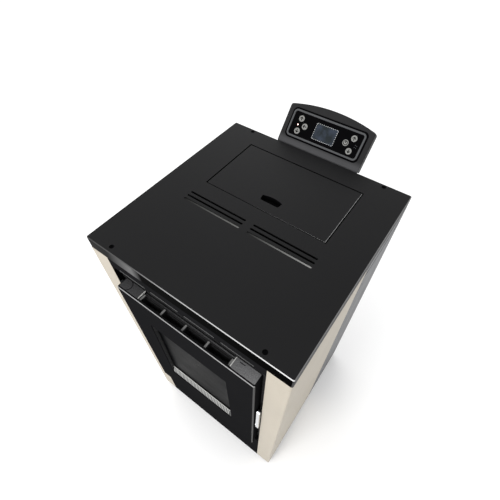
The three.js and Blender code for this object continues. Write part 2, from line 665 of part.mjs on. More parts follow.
function topSlots() {
  const reach = TOP_SLOT_MIDDLE_GAP / 2;
  const half = TOP_SLOT_WIDTH / 2;
  return count(TOP_SLOT_ROWS).flatMap((row) => [-1, 1].map((side) => {
    const y = TOP_SLOT_FRONT + row * TOP_SLOT_PITCH;
    const x0 = side > 0 ? reach : -reach - TOP_SLOT_LENGTH;
    const outline = roundedRect(x0, x0 + TOP_SLOT_LENGTH, y - half, y + half, half - 0.01);
    return prismZ(outline, TOP - SHEET - 1, TOP + 1);
  }));
}

function screwPlaces() {
  const rows = [SCREW_FRONT, DEPTH - SCREW_REAR];
  return rows.flatMap((y) => [-1, 1].map((side) => [side * (HALF - SCREW_INSET), y]));
}

function topCover() {
  const outer = prismZ(roundedRect(-HALF, HALF, 0, DEPTH, CORNER_RADIUS), LIP_BOTTOM, TOP);
  const inner = HALF - SHEET;
  const bowl = prismZ(roundedRect(-inner, inner, SHEET, DEPTH - SHEET, CORNER_RADIUS - SHEET),
    LIP_BOTTOM - 1, TOP - SHEET);
  const half = LID_HALF_WIDTH + LID_GAP;
  const opening = slab(-half, half, LID_FRONT - LID_FRONT_GAP, LID_REAR + LID_GAP, LIP_BOTTOM, TOP + 1);
  const holes = screwPlaces().map(([x, y]) =>
    rodZ(SCREW_HEAD_RADIUS + SEAT, TOP - SHEET - 1, TOP + 1, x, y, SMALL_SIDES));
  return piece("top_cover", cut(outer, bowl, opening, ...topSlots(), ...holes), BLACK_COAT);
}

function topScrews() {
  const names = ["front_left", "front_right", "rear_left", "rear_right"];
  const head = rodZ(SCREW_HEAD_RADIUS, -SHEET, -SEAT, 0, 0, SMALL_SIDES);
  const shank = rodZ(SCREW_SHANK_RADIUS, -SCREW_LENGTH, -SHEET, 0, 0, SMALL_SIDES);
  return screwPlaces().map(([x, y], i) => {
    const screw = piece(`top_screw_${names[i]}`, join(head, shank), BLACK_IRON);
    screw.position.set(x, y, TOP);
    return screw;
  });
}

function upperFront() {
  const stripBottom = LIP_BOTTOM - SEAT - UPPER_STRIP;
  const behind = FRONT_PLATE - SEAT;
  const path = [
    [behind, LIP_BOTTOM - SEAT],
    [0, LIP_BOTTOM - SEAT],
    [0, stripBottom],
    [behind, stripBottom],
  ].reverse();
  const half = OPENING_HALF - SEAT;
  const strip = prismX(foldedSheet(path, SHEET), -half, half);
  const slots = count(FRONT_SLOTS).map((i) => {
    const x = (i - (FRONT_SLOTS - 1) / 2) * FRONT_SLOT_PITCH;
    const z0 = stripBottom + FRONT_SLOT_RISE;
    const reach = FRONT_SLOT_LENGTH / 2;
    return slab(x - reach, x + reach, -1, SHEET + 1, z0, z0 + FRONT_SLOT_HEIGHT);
  });
  return piece("upper_front_panel", cut(strip, ...slots), BLACK_COAT);
}

function lowerFront() {
  const top = PLATE_BOTTOM - SEAT;
  const path = [[0, FOOT_HEIGHT], [0, top], [PLATE_BACK, top]];
  const half = OPENING_HALF - SEAT;
  const sheet = prismX(foldedSheet(path, SHEET), -half, half);
  const behindPlate = slab(-WIDTH, WIDTH, FRONT_PLATE, DEPTH, 0, TOP);
  return piece("lower_front_panel", cut(sheet, behindPlate), BLACK_COAT);
}

// ---------- Hopper and lid ----------

// The finger recess: a straight front edge, flared sides and an arc at the back.
function recessOutline() {
  const back = RECESS_FRONT + RECESS_LENGTH;
  const shoulder = RECESS_FRONT + RECESS_LENGTH * 0.6;
  const shape = new THREE.Shape();
  shape.moveTo(-RECESS_MOUTH / 2, RECESS_FRONT);
  shape.lineTo(RECESS_MOUTH / 2, RECESS_FRONT);
  shape.lineTo(RECESS_WIDTH / 2, shoulder);
  shape.quadraticCurveTo(RECESS_WIDTH / 3, back, 0, back);
  shape.quadraticCurveTo(-RECESS_WIDTH / 3, back, -RECESS_WIDTH / 2, shoulder);
  return shape;
}

function lidKnuckle(side) {
  const outer = LID_PIN_RADIUS + PIN_CLEARANCE + KNUCKLE_WALL;
  const far = LID_PIN_HALF_LENGTH - LID_KNUCKLE_INSET;
  const ends = [side * far, side * (far - LID_KNUCKLE_LENGTH)].sort((a, b) => a - b);
  const barrel = rodX(outer, ...ends, LID_AXIS_Y, LID_AXIS_Z);
  const web = slab(...ends, LID_AXIS_Y - outer, LID_AXIS_Y - outer + SHEET, LID_AXIS_Z, TOP - SHEET / 2);
  const bore = rodX(LID_PIN_RADIUS + PIN_CLEARANCE, ends[0] - 1, ends[1] + 1, LID_AXIS_Y, LID_AXIS_Z);
  return cut(join(barrel, web), bore);
}

function hopperLid() {
  const half = LID_HALF_WIDTH;
  const flanged = slab(-half, half, LID_FRONT, LID_AXIS_Y - LID_FLANGE, TOP - LID_FLANGE, TOP);
  const plate = slab(-half, half, LID_FRONT, LID_REAR, TOP - SHEET, TOP);
  const inner = half - SHEET;
  const under = slab(-inner, inner, LID_FRONT + SHEET, LID_REAR, TOP - LID_FLANGE - 1, TOP - SHEET);
  const pan = cut(join(flanged, plate), under);
  const cupHalf = RECESS_WIDTH / 2 + CUP_WALL;
  const cupFront = RECESS_FRONT - CUP_WALL;
  const cupRear = RECESS_FRONT + RECESS_LENGTH + CUP_WALL;
  const cup = slab(-cupHalf, cupHalf, cupFront, cupRear, TOP - RECESS_DEPTH - CUP_WALL, TOP - SHEET / 2);
  const hand = prismZ(recessOutline(), TOP - RECESS_DEPTH, TOP + 1);
  return piece("hopper_lid", cut(join(pan, cup, lidKnuckle(-1), lidKnuckle(1)), hand), BLACK_COAT);
}

function lidPin() {
  const pin = rodX(LID_PIN_RADIUS, -LID_PIN_HALF_LENGTH, LID_PIN_HALF_LENGTH, LID_AXIS_Y, LID_AXIS_Z);
  return piece("lid_hinge_pin", pin, BARE_STEEL);
}

// An ear on the hopper's back wall, which passes under the lid's path and holds one end of the pin.
function hopperEar(side) {
  const outerEnd = side * (LID_PIN_HALF_LENGTH + 1);
  const ends = [outerEnd, outerEnd - side * EAR_THICKNESS].sort((a, b) => a - b);
  const grip = LID_PIN_RADIUS + KNUCKLE_WALL;
  const armTop = LID_AXIS_Z - Math.hypot(LID_AXIS_INSET, LID_AXIS_DROP) - EAR_CLEARANCE;
  const armBottom = armTop - EAR_ARM_HEIGHT;
  const upright = slab(...ends, LID_AXIS_Y - grip, LID_AXIS_Y + grip, armBottom, LID_AXIS_Z + grip);
  const arm = slab(...ends, LID_AXIS_Y, HOPPER_REAR - HOPPER_WALL / 2, armBottom, armTop);
  return join(upright, arm);
}

function hopper() {
  const high = TOP - INSIDE;
  const shoulder = high - HOPPER_STRAIGHT;
  const throat = AUGER_HEIGHT + AUGER_TUBE_RADIUS + THROAT_RISE;
  const low = AUGER_HEIGHT + AUGER_TUBE_RADIUS / 3;
  const mouth = { x: CHASSIS_HALF_WIDTH, y0: HOPPER_FRONT, y1: HOPPER_REAR };
  const grow = HOPPER_WALL;
  const foot = { x: THROAT_HALF_WIDTH + grow, y0: THROAT_FRONT - grow, y1: THROAT_REAR + grow };
  const shrink = ({ x, y0, y1 }) => ({ x: x - grow, y0: y0 + grow, y1: y1 - grow });
  const stack = (top, bottom, highZ, lowZ) => join(
    slab(-top.x, top.x, top.y0, top.y1, shoulder, highZ),
    funnel({ ...bottom, z: throat }, { ...top, z: shoulder }),
    slab(-bottom.x, bottom.x, bottom.y0, bottom.y1, lowZ, throat),
  );
  const skin = stack(mouth, foot, high, low);
  const space = stack(shrink(mouth), shrink(foot), high + 1, low - 1);
  const holes = rodX(LID_PIN_RADIUS + PIN_CLEARANCE, -HALF, HALF, LID_AXIS_Y, LID_AXIS_Z);
  const ears = cut(join(hopperEar(-1), hopperEar(1)), holes);
  const tube = rodY(AUGER_TUBE_RADIUS + SEAT, 0, DEPTH, 0, AUGER_HEIGHT);
  return piece("hopper", cut(join(cut(skin, space), ears), tube), ZINC_SHEET);
}

// ---------- Auger feed ----------

function augerTube() {
  const tube = tubeY(AUGER_TUBE_RADIUS, AUGER_TUBE_WALL, AUGER_FRONT, AUGER_REAR, 0, AUGER_HEIGHT);
  const front = rodY(AUGER_TUBE_RADIUS, AUGER_FRONT, AUGER_FRONT + AUGER_TUBE_WALL, 0, AUGER_HEIGHT);
  const inner = AUGER_TUBE_RADIUS - AUGER_TUBE_WALL;
  const half = THROAT_HALF_WIDTH - FEED_MARGIN;
  const feed = slab(-half, half, THROAT_FRONT + FEED_MARGIN, THROAT_REAR - FEED_MARGIN, AUGER_HEIGHT,
    AUGER_HEIGHT + 2 * AUGER_TUBE_RADIUS);
  const dropFront = CHUTE_MOUTH_FRONT + 2 * CHUTE_WALL;
  const drop = slab(-half, half, dropFront, dropFront + CHUTE_HEIGHT - 4 * CHUTE_WALL,
    AUGER_HEIGHT - 2 * AUGER_TUBE_RADIUS, AUGER_HEIGHT - inner / 2);
  const bearing = rodY(AUGER_SHAFT_RADIUS + SEAT, AUGER_FRONT - 1, AUGER_FRONT + 2 * AUGER_TUBE_WALL, 0,
    AUGER_HEIGHT);
  return piece("auger_tube", cut(join(tube, front), feed, drop, bearing), BARE_STEEL);
}

function augerScrew() {
  const outer = AUGER_TUBE_RADIUS - AUGER_TUBE_WALL - AUGER_RUN_CLEARANCE;
  const start = AUGER_FRONT + AUGER_TUBE_WALL + FLIGHT_END_GAP;
  const length = AUGER_REAR - AUGER_FRONT - AUGER_TUBE_WALL - 2 * FLIGHT_END_GAP - FLIGHT_THICKNESS;
  const wound = flight(AUGER_SHAFT_RADIUS - 2, outer, AUGER_PITCH, length, FLIGHT_THICKNESS, FLIGHT_STEPS)
    .translate(0, start, 0);
  const shaft = rodY(AUGER_SHAFT_RADIUS, AUGER_FRONT, AUGER_REAR + GEARBOX_DEPTH / 2, 0, 0, 20);
  const screw = piece("auger_screw", join(shaft, wound), BARE_STEEL);
  screw.position.z = AUGER_HEIGHT;
  return screw;
}

function augerMotor() {
  const front = AUGER_REAR + SEAT;
  const half = GEARBOX_SIZE / 2;
  const rear = front + GEARBOX_DEPTH;
  const middle = AUGER_HEIGHT - GEARBOX_DROP;
  const box = slab(-half, half, front, rear, middle - half, middle + half);
  const can = rodY(GEARMOTOR_RADIUS, rear - 1, GEARMOTOR_REAR, 0, middle);
  const bore = rodY(AUGER_SHAFT_RADIUS + SEAT, front - 1, front + GEARBOX_DEPTH / 2 + 2, 0, AUGER_HEIGHT);
  return piece("auger_gearmotor", cut(join(box, can), bore), BARE_STEEL);
}

// A duct that slopes at 45 degrees from under the auger to a mouth over the burn pot.
function chuteOutline(wall, past) {
  const slant = wall * Math.SQRT2;
  const upper = CHUTE_MOUTH_FRONT + slant;
  const lower = CHUTE_MOUTH_FRONT + CHUTE_HEIGHT - slant;
  const front = CHUTE_FRONT - past;
  return [
    [upper + past, CHUTE_TOP + past],
    [lower + past, CHUTE_TOP + past],
    [front, CHUTE_TOP - (lower - front)],
    [front, CHUTE_TOP - (upper - front)],
  ];
}

function dropChute() {
  const outer = prismX(chuteOutline(0, 0), -CHUTE_HALF_WIDTH, CHUTE_HALF_WIDTH);
  const half = CHUTE_HALF_WIDTH - CHUTE_WALL;
  return piece("drop_chute", cut(outer, prismX(chuteOutline(CHUTE_WALL, 1), -half, half)), BARE_STEEL);
}

// The space that the chute takes where it passes a wall between two values of y.
function chuteHole(y0, y1) {
  const half = CHUTE_HALF_WIDTH + SEAT;
  const low = CHUTE_TOP - (CHUTE_MOUTH_FRONT + CHUTE_HEIGHT - y0) - SEAT;
  const high = CHUTE_TOP - (CHUTE_MOUTH_FRONT - y1) + SEAT;
  return slab(-half, half, y0 - 1, y1 + 1, low, high);
}

// ---------- Firebox ----------

function hingeLug(top) {
  const back = FRONT_PLATE + BOX_WALL / 2;
  const x0 = DOOR_PIN_X - DOOR_KNUCKLE_RADIUS;
  const x1 = DOOR_PIN_X + DOOR_KNUCKLE_RADIUS;
  return slab(x0, x1, DOOR_PIN_BACK - DOOR_KNUCKLE_RADIUS, back, top - HINGE_LUG, top);
}

function knuckleBottoms() {
  const upper = DOOR_TOP - DOOR_KNUCKLE_INSET - DOOR_KNUCKLE_LENGTH;
  const lower = DOOR_BOTTOM + DOOR_KNUCKLE_INSET;
  return { upper, lower };
}

function latchSlot() {
  const front = FRONT_PLATE - 1;
  const x0 = CAM_X - CAM_SIDE_GAP;
  const x1 = CAM_X + CAM_THICKNESS + CAM_SIDE_GAP;
  const reach = CAM_LENGTH + CAM_NOSE;
  return slab(x0, x1, front, PLATE_BACK + 1, HANDLE_PIVOT_Z - reach,
    HANDLE_PIVOT_Z + CAM_ABOVE + CAM_TOP_GAP);
}

function firebox() {
  const half = CHASSIS_HALF_WIDTH;
  const inner = half - BOX_WALL;
  const rearInside = BOX_REAR - BOX_WALL;
  const plate = slab(-FRONT_PLATE_HALF_WIDTH, FRONT_PLATE_HALF_WIDTH, FRONT_PLATE, PLATE_BACK, PLATE_BOTTOM,
    LIP_BOTTOM - SEAT);
  const mouth = slab(-MOUTH_HALF_WIDTH, MOUTH_HALF_WIDTH, FRONT_PLATE - 1, PLATE_BACK + 1, MOUTH_BOTTOM,
    MOUTH_TOP);
  const box = slab(-half, half, PLATE_BACK - 1, BOX_REAR, BOX_BOTTOM, BOX_TOP);
  const hollow = slab(-inner, inner, PLATE_BACK, rearInside, MOUTH_BOTTOM, BOX_TOP - BOX_WALL);
  const shelf = slab(-inner - 1, inner + 1, PLATE_BACK - 1, rearInside + 1, SHELF_HEIGHT, SHELF_TOP);
  const potHalf = POT_HALF_WIDTH + SEAT;
  const potHole = slab(-potHalf, potHalf, POT_FRONT - SEAT, POT_REAR + SEAT, SHELF_HEIGHT - 1, SHELF_TOP + 1);
  const smokeHalf = FAN_HALF_WIDTH - FAN_WALL;
  const smokeTop = SMOKE_DUCT_TOP - FAN_WALL;
  const smokeHole = slab(FAN_X - smokeHalf, FAN_X + smokeHalf, rearInside - 1, BOX_REAR + 1,
    smokeTop - SMOKE_MOUTH_HEIGHT, smokeTop);
  const airHole = rodY(AIR_RADIUS - AIR_WALL, rearInside - 1, BOX_REAR + 1, AIR_X, AIR_HEIGHT);
  const shell = join(cut(join(plate, box), mouth, hollow), shelf);
  const { upper, lower } = knuckleBottoms();
  const lugs = [hingeLug(upper - SEAT), hingeLug(lower - SEAT)];
  const chute = chuteHole(rearInside, BOX_REAR);
  return piece("firebox", cut(join(shell, ...lugs), potHole, smokeHole, airHole, chute, latchSlot(),
    ...hingePinBores()), BLACK_IRON);
}

function hingePinBores() {
  const { upper, lower } = knuckleBottoms();
  const radius = DOOR_PIN_RADIUS + PIN_CLEARANCE;
  return [upper, lower].map((z) =>
    rodZ(radius, z - HINGE_LUG - 2, z + 1, DOOR_PIN_X, DOOR_PIN_BACK));
}

function hingePins() {
  const places = knuckleBottoms();
  return Object.entries(places).map(([name, bottom]) => {
    const low = bottom - SEAT - HINGE_LUG - PIN_END;
    const pin = rodZ(DOOR_PIN_RADIUS, low, bottom + DOOR_KNUCKLE_LENGTH - PIN_END, DOOR_PIN_X,
      DOOR_PIN_BACK);
    const head = rodZ(DOOR_KNUCKLE_RADIUS, low - PIN_HEAD, low, DOOR_PIN_X, DOOR_PIN_BACK);
    return piece(`door_hinge_pin_${name}`, join(pin, head), BARE_STEEL);
  });
}

function fireBack() {
  const rear = BOX_REAR - BOX_WALL - SEAT;
  const front = rear - FIRE_BACK_THICKNESS;
  const low = SHELF_TOP + SEAT;
  const plate = slab(-FIRE_BACK_HALF_WIDTH, FIRE_BACK_HALF_WIDTH, front + FIRE_RIB, rear, low, FIRE_BACK_TOP);
  const pitch = (2 * FIRE_BACK_HALF_WIDTH) / FIRE_RIBS;
  const ribs = count(FIRE_RIBS).map((i) => {
    const x = -FIRE_BACK_HALF_WIDTH + (i + 0.5) * pitch;
    return slab(x - pitch / 4, x + pitch / 4, front, front + FIRE_RIB + 1, low + FIRE_RIB_INSET,
      FIRE_BACK_TOP - FIRE_RIB_INSET);
  });
  return piece("fire_back", cut(join(plate, ...ribs), chuteHole(front, rear)), BLACK_IRON);
}

function baffle() {
  const half = CHASSIS_HALF_WIDTH - BOX_WALL - SEAT;
  const rear = BOX_REAR - BOX_WALL - SEAT;
  const plate = slab(-half, half, BAFFLE_FRONT, rear, BAFFLE_HEIGHT, BAFFLE_HEIGHT + BAFFLE_THICKNESS);
  return piece("baffle", plate, REFRACTORY);
}

function burnPot() {
  const low = SHELF_HEIGHT - POT_DROP;
  const high = SHELF_TOP + POT_RISE;
  const cup = slab(-POT_HALF_WIDTH, POT_HALF_WIDTH, POT_FRONT, POT_REAR, low, high);
  const rimHalf = POT_HALF_WIDTH + POT_RIM;
  const rim = slab(-rimHalf, rimHalf, POT_FRONT - POT_RIM, POT_REAR + POT_RIM, SHELF_TOP + SEAT,
    SHELF_TOP + SEAT + POT_WALL);
  const inner = POT_HALF_WIDTH - POT_WALL;
  const bowl = slab(-inner, inner, POT_FRONT + POT_WALL, POT_REAR - POT_WALL, low + POT_WALL, high + 1);
  const pitch = (2 * inner) / (POT_HOLES + 1);
  const holes = count(POT_HOLES).flatMap((i) => count(POT_HOLES).map((j) => {
    const x = -inner + (i + 1) * pitch;
    const y = POT_FRONT + POT_WALL + (j + 1) * pitch;
    return rodZ(POT_HOLE_RADIUS, low - 1, low + POT_WALL + 1, x, y, 8);
  }));
  return piece("burn_pot", cut(join(cup, rim), bowl, ...holes), BLACK_IRON);
}

function ashPan() {
  const front = PLATE_BACK + ASH_PAN_GAP;
  const rear = BOX_REAR - BOX_WALL - 2 * ASH_PAN_GAP;
  const low = MOUTH_BOTTOM + SEAT;
  const high = low + ASH_PAN_HEIGHT;
  const pan = slab(-ASH_PAN_HALF_WIDTH, ASH_PAN_HALF_WIDTH, front, rear, low, high);
  const inner = ASH_PAN_HALF_WIDTH - ASH_PAN_WALL;
  const hollow = slab(-inner, inner, front + ASH_PAN_WALL, rear - ASH_PAN_WALL, low + ASH_PAN_WALL, high + 1);
  const grip = slab(-ASH_PAN_HALF_WIDTH / 3, ASH_PAN_HALF_WIDTH / 3, front - ASH_GRIP, front + 1,
    high - ASH_PAN_WALL, high);
  return piece("ash_pan", join(cut(pan, hollow), grip), ZINC_SHEET);
}

// ---------- Door ----------

function doorKnuckle(bottom) {
  const barrel = rodZ(DOOR_KNUCKLE_RADIUS, bottom, bottom + DOOR_KNUCKLE_LENGTH, DOOR_PIN_X, DOOR_PIN_BACK);
  const half = SHEET / 2;
  const leaf = slab(DOOR_PIN_X, -DOOR_HALF_WIDTH + half, DOOR_PIN_BACK - half, DOOR_PIN_BACK + half, bottom,
    bottom + DOOR_KNUCKLE_LENGTH);
  return join(barrel, leaf);
}

// The window's space between two values of y, made larger or smaller all round.
function windowSpace(grow, y0, y1) {
  const half = WINDOW_HALF_WIDTH + grow;
  return slab(-half, half, y0, y1, WINDOW_BOTTOM - grow, WINDOW_TOP + grow);
}

function doorSkin() {
  const half = DOOR_HALF_WIDTH;
  const outline = (inset, radius) =>
    bend(half - inset - radius, DOOR_FACE + inset + radius, radius, 0, -90)
      .concat(bend(-half + inset + radius, DOOR_FACE + inset + radius, radius, -90, -180))
      .concat([[-half + inset, DOOR_BACK + (inset ? 1 : 0)], [half - inset, DOOR_BACK + (inset ? 1 : 0)]]);
  const tray = prismZ(outline(0, DOOR_CORNER), DOOR_BOTTOM, DOOR_TOP);
  const hollow = prismZ(outline(SHEET, DOOR_CORNER - SHEET), DOOR_BOTTOM + SHEET, DOOR_TOP - SHEET);
  const window = windowSpace(0, DOOR_FACE - 1, DOOR_FACE + SHEET + 1);
  const vent = slab(-VENT_HALF_WIDTH, VENT_HALF_WIDTH, DOOR_FACE + VENT_FRONT, DOOR_BACK + 1,
    DOOR_TOP - SHEET - 1, DOOR_TOP + 1);
  const shaft = rodX(HANDLE_SHAFT_RADIUS + HANDLE_SHAFT_CLEARANCE, half - SHEET - 1, half + 1, HANDLE_PIVOT_Y,
    HANDLE_PIVOT_Z);
  const { upper, lower } = knuckleBottoms();
  const knuckles = [doorKnuckle(upper), doorKnuckle(lower)];
  const bores = [upper, lower].map((z) =>
    rodZ(DOOR_PIN_RADIUS + PIN_CLEARANCE, z - 1, z + DOOR_KNUCKLE_LENGTH + 1, DOOR_PIN_X, DOOR_PIN_BACK));
  const skin = join(cut(tray, hollow), ...knuckles);
  return piece("door_skin", cut(skin, window, vent, shaft, ...bores), BLACK_COAT);
}

function doorCasting() {
  const top = DOOR_TOP - CASTING_DROP;
  const bottom = DOOR_BOTTOM + CASTING_DROP;
  const front = DOOR_FACE + SHEET + SEAT;
  const body = slab(-CASTING_HALF_WIDTH, CASTING_HALF_WIDTH, front, CASTING_BACK, bottom, top);
  const window = windowSpace(0, front - 1, CASTING_BACK + 1);
  const rebate = windowSpace(REBATE, GLASS_FACE - SEAT, CASTING_BACK + 1);
  const pitch = (2 * VENT_HALF_WIDTH - VENT_RIB) / VENT_POCKETS;
  const pockets = count(VENT_POCKETS).map((i) => {
    const x0 = -VENT_HALF_WIDTH + VENT_RIB + i * pitch;
    return slab(x0, x0 + pitch - VENT_RIB, DOOR_FACE + VENT_FRONT, CASTING_BACK - VENT_BACK_WALL,
      top - VENT_DEPTH, top + 1);
  });
  return piece("door_casting", cut(body, window, rebate, ...pockets), BLACK_IRON);
}

function doorGlass() {
  const pane = windowSpace(REBATE - SEAT, GLASS_FACE, GLASS_FACE + GLASS_THICKNESS);
  return piece("door_glass", pane, DARK_GLASS);
}

function glassRetainer() {
  const half = WINDOW_HALF_WIDTH + REBATE - SEAT;
  const low = WINDOW_BOTTOM - REBATE + SEAT;
  const high = WINDOW_TOP + REBATE - SEAT;
  const front = GLASS_FACE + GLASS_THICKNESS + SEAT;
  const w = RETAINER_WIDTH;
  const inner = [-half + w, half - w, low + w, high - w, FRAME_CORNER];
  const ring = frameShape([-half, half, low, high, FRAME_CORNER], inner);
  return piece("glass_retainer", prismY(ring, front, front + RETAINER_THICKNESS), BARE_STEEL);
}

function windowSill() {
  const front = DOOR_FACE + SHEET + SEAT;
  const rear = front + SILL_DEPTH - SEAT - SHEET;
  const low = WINDOW_BOTTOM + SEAT;
  const half = WINDOW_HALF_WIDTH - SEAT;
  const wedge = [[front, low], [rear, low], [rear, low + SILL_HEIGHT], [front, low + SILL_FRONT_HEIGHT]];
  return piece("window_sill", prismX(wedge, -half, half), BARE_STEEL);
}

function doorRope() {
  const half = MOUTH_HALF_WIDTH + ROPE_MARGIN;
  const low = MOUTH_BOTTOM;
  const high = MOUTH_TOP + ROPE_MARGIN;
  const w = ROPE_WIDTH;
  const outer = [-half - w, half + w, low - w, high + w, w];
  const ring = frameShape(outer, [-half, half, low, high, FRAME_CORNER]);
  return piece("door_rope_seal", prismY(ring, CASTING_BACK + SEAT, FRONT_PLATE - SEAT), GLASS_ROPE);
}

// The lever stands beside the door's edge; its shaft passes the edge and carries the latch cam inside.
function doorHandle() {
  const x0 = DOOR_HALF_WIDTH + HANDLE_GAP;
  const x1 = x0 + HANDLE_THICKNESS;
  const half = HANDLE_DEPTH / 2;
  const above = HANDLE_LENGTH - HANDLE_PIVOT_RISE;
  const lever = prismX(roundedRect(-half, half, -HANDLE_PIVOT_RISE, above, half - 0.5), x0, x1);
  const shaft = rodX(HANDLE_SHAFT_RADIUS, CAM_X, x0 + 1, 0, 0);
  const arm = prismX(roundedRect(-CAM_RADIUS, CAM_RADIUS, -CAM_RADIUS, CAM_RADIUS, CAM_RADIUS - 0.01), CAM_X,
    CAM_X + CAM_THICKNESS);
  const tongue = slab(CAM_X, CAM_X + CAM_THICKNESS, 0, CAM_LENGTH + CAM_NOSE / 2, -CAM_BELOW, CAM_ABOVE);
  const nose = slab(CAM_X, CAM_X + CAM_THICKNESS, CAM_LENGTH, CAM_LENGTH + CAM_NOSE / 2, 0, CAM_NOSE);
  const released = new THREE.Matrix4().makeRotationX(-radians(CAM_TURN));
  const cam = [tongue, nose].map((shape) => shape.applyMatrix4(released));
  const handle = piece("door_handle", join(lever, shaft, arm, ...cam), CHROME);
  handle.position.set(0, HANDLE_PIVOT_Y, HANDLE_PIVOT_Z);
  return handle;
}

// ---------- Control panel ----------

// A point of the stove's side view (y, z) in the control panel's own frame (v, n).
function onPanel(y, z) {
  const slope = radians(PANEL_SLOPE);
  const back = y - DEPTH;
  const up = z - TOP;
  return [back * Math.cos(slope) + up * Math.sin(slope), -back * Math.sin(slope) + up * Math.cos(slope)];
}

function panelOutline() {
  const half = PANEL_HALF_WIDTH;
  const corner = PANEL_CORNER;
  const shape = new THREE.Shape();
  shape.moveTo(-half, 0.5);
  shape.lineTo(half, 0.5);
  shape.lineTo(half, PANEL_SIDE_HEIGHT - corner);
  shape.quadraticCurveTo(half, PANEL_SIDE_HEIGHT, half - corner, PANEL_SIDE_HEIGHT + 1);
  shape.quadraticCurveTo(0, PANEL_SIDE_HEIGHT + 2 * PANEL_ARCH, -half + corner, PANEL_SIDE_HEIGHT + 1);
  shape.quadraticCurveTo(-half, PANEL_SIDE_HEIGHT, -half, PANEL_SIDE_HEIGHT - corner);
  return shape;
}

function fasciaRect(grow, radius) {
  const half = FASCIA_HALF_WIDTH + grow;
  return [-half, half, FASCIA_RISE - grow, FASCIA_RISE + FASCIA_HEIGHT + grow, radius];
}

function panelHousing() {
  const shell = prismZ(panelOutline(), -PANEL_DEPTH, 0, ARCH_STEPS);
  const pocket = prismZ(roundedRect(...fasciaRect(SEAT, FASCIA_CORNER)), -POCKET_DEPTH, 1);
  const foot = prismX([
    onPanel(DEPTH + SEAT, TOP - PANEL_FOOT_DROP),
    onPanel(DEPTH + SEAT, TOP - PANEL_FOOT_HEIGHT),
    onPanel(DEPTH + SEAT + PANEL_FOOT_DEPTH, TOP - PANEL_FOOT_HEIGHT),
    onPanel(DEPTH + SEAT + 2 * PANEL_FOOT_DEPTH, TOP - PANEL_FOOT_DROP),
    onPanel(DEPTH + SEAT + PANEL_FOOT_DEPTH, TOP + PANEL_FOOT_RISE),
  ], -PANEL_FOOT_HALF_WIDTH, PANEL_FOOT_HALF_WIDTH);
  return piece("panel_housing", cut(join(shell, foot), pocket), DARK_ABS);
}

function panelBezel() {
  const ring = frameShape(fasciaRect(BEZEL_WIDTH, FASCIA_CORNER + BEZEL_WIDTH), fasciaRect(0, FASCIA_CORNER));
  return piece("panel_bezel", prismZ(ring, SEAT, SEAT + BEZEL_HEIGHT), GREY_ABS);
}

function buttonPlaces() {
  const middle = FASCIA_RISE + FASCIA_HEIGHT / 2 - 1;
  return [-1, 1].flatMap((side) => [
    [side * BUTTON_OUTER, middle + BUTTON_SPREAD],
    [side * BUTTON_INNER, middle],
    [side * BUTTON_OUTER, middle - BUTTON_SPREAD],
  ]);
}

function lcdSpace(grow, low, high) {
  const half = LCD_WIDTH / 2 + grow;
  const middle = FASCIA_RISE + FASCIA_HEIGHT / 2 - 1;
  return slab(-half, half, middle - LCD_HEIGHT / 2 - grow, middle + LCD_HEIGHT / 2 + grow, low, high);
}

function panelFascia() {
  const plate = prismZ(roundedRect(...fasciaRect(0, FASCIA_CORNER)), -FASCIA_THICKNESS, 0);
  const holes = buttonPlaces().map(([u, v]) =>
    rodZ(BUTTON_RADIUS + SEAT, -FASCIA_THICKNESS - 1, 1, u, v, BUTTON_SIDES));
  const window = lcdSpace(SEAT, -FASCIA_THICKNESS - 1, 1);
  return piece("panel_fascia", cut(plate, window, ...holes), GLOSS_BLACK);
}

function panelScreen() {
  return piece("panel_screen", lcdSpace(0, -POCKET_DEPTH + SEAT, -SEAT), LCD_GLASS);
}

function panelButtons() {
  const cap = rodZ(BUTTON_RADIUS, BUTTON_PROUD - BUTTON_THICKNESS, BUTTON_PROUD, 0, 0, BUTTON_SIDES);
  return buttonPlaces().map(([u, v], i) => {
    const button = piece(`panel_button_${i + 1}`, cap, KEY_PRINT);
    button.position.set(u, v, 0);
    return button;
  });
}

function controlPanel() {
  const panel = new THREE.Group();
  panel.add(panelHousing(), panelBezel(), panelFascia(), panelScreen(), ...panelButtons());
  panel.position.set(0, DEPTH, TOP);
  panel.rotation.x = radians(PANEL_SLOPE);
  return panel;
}

// ---------- Fans, flue and air ----------

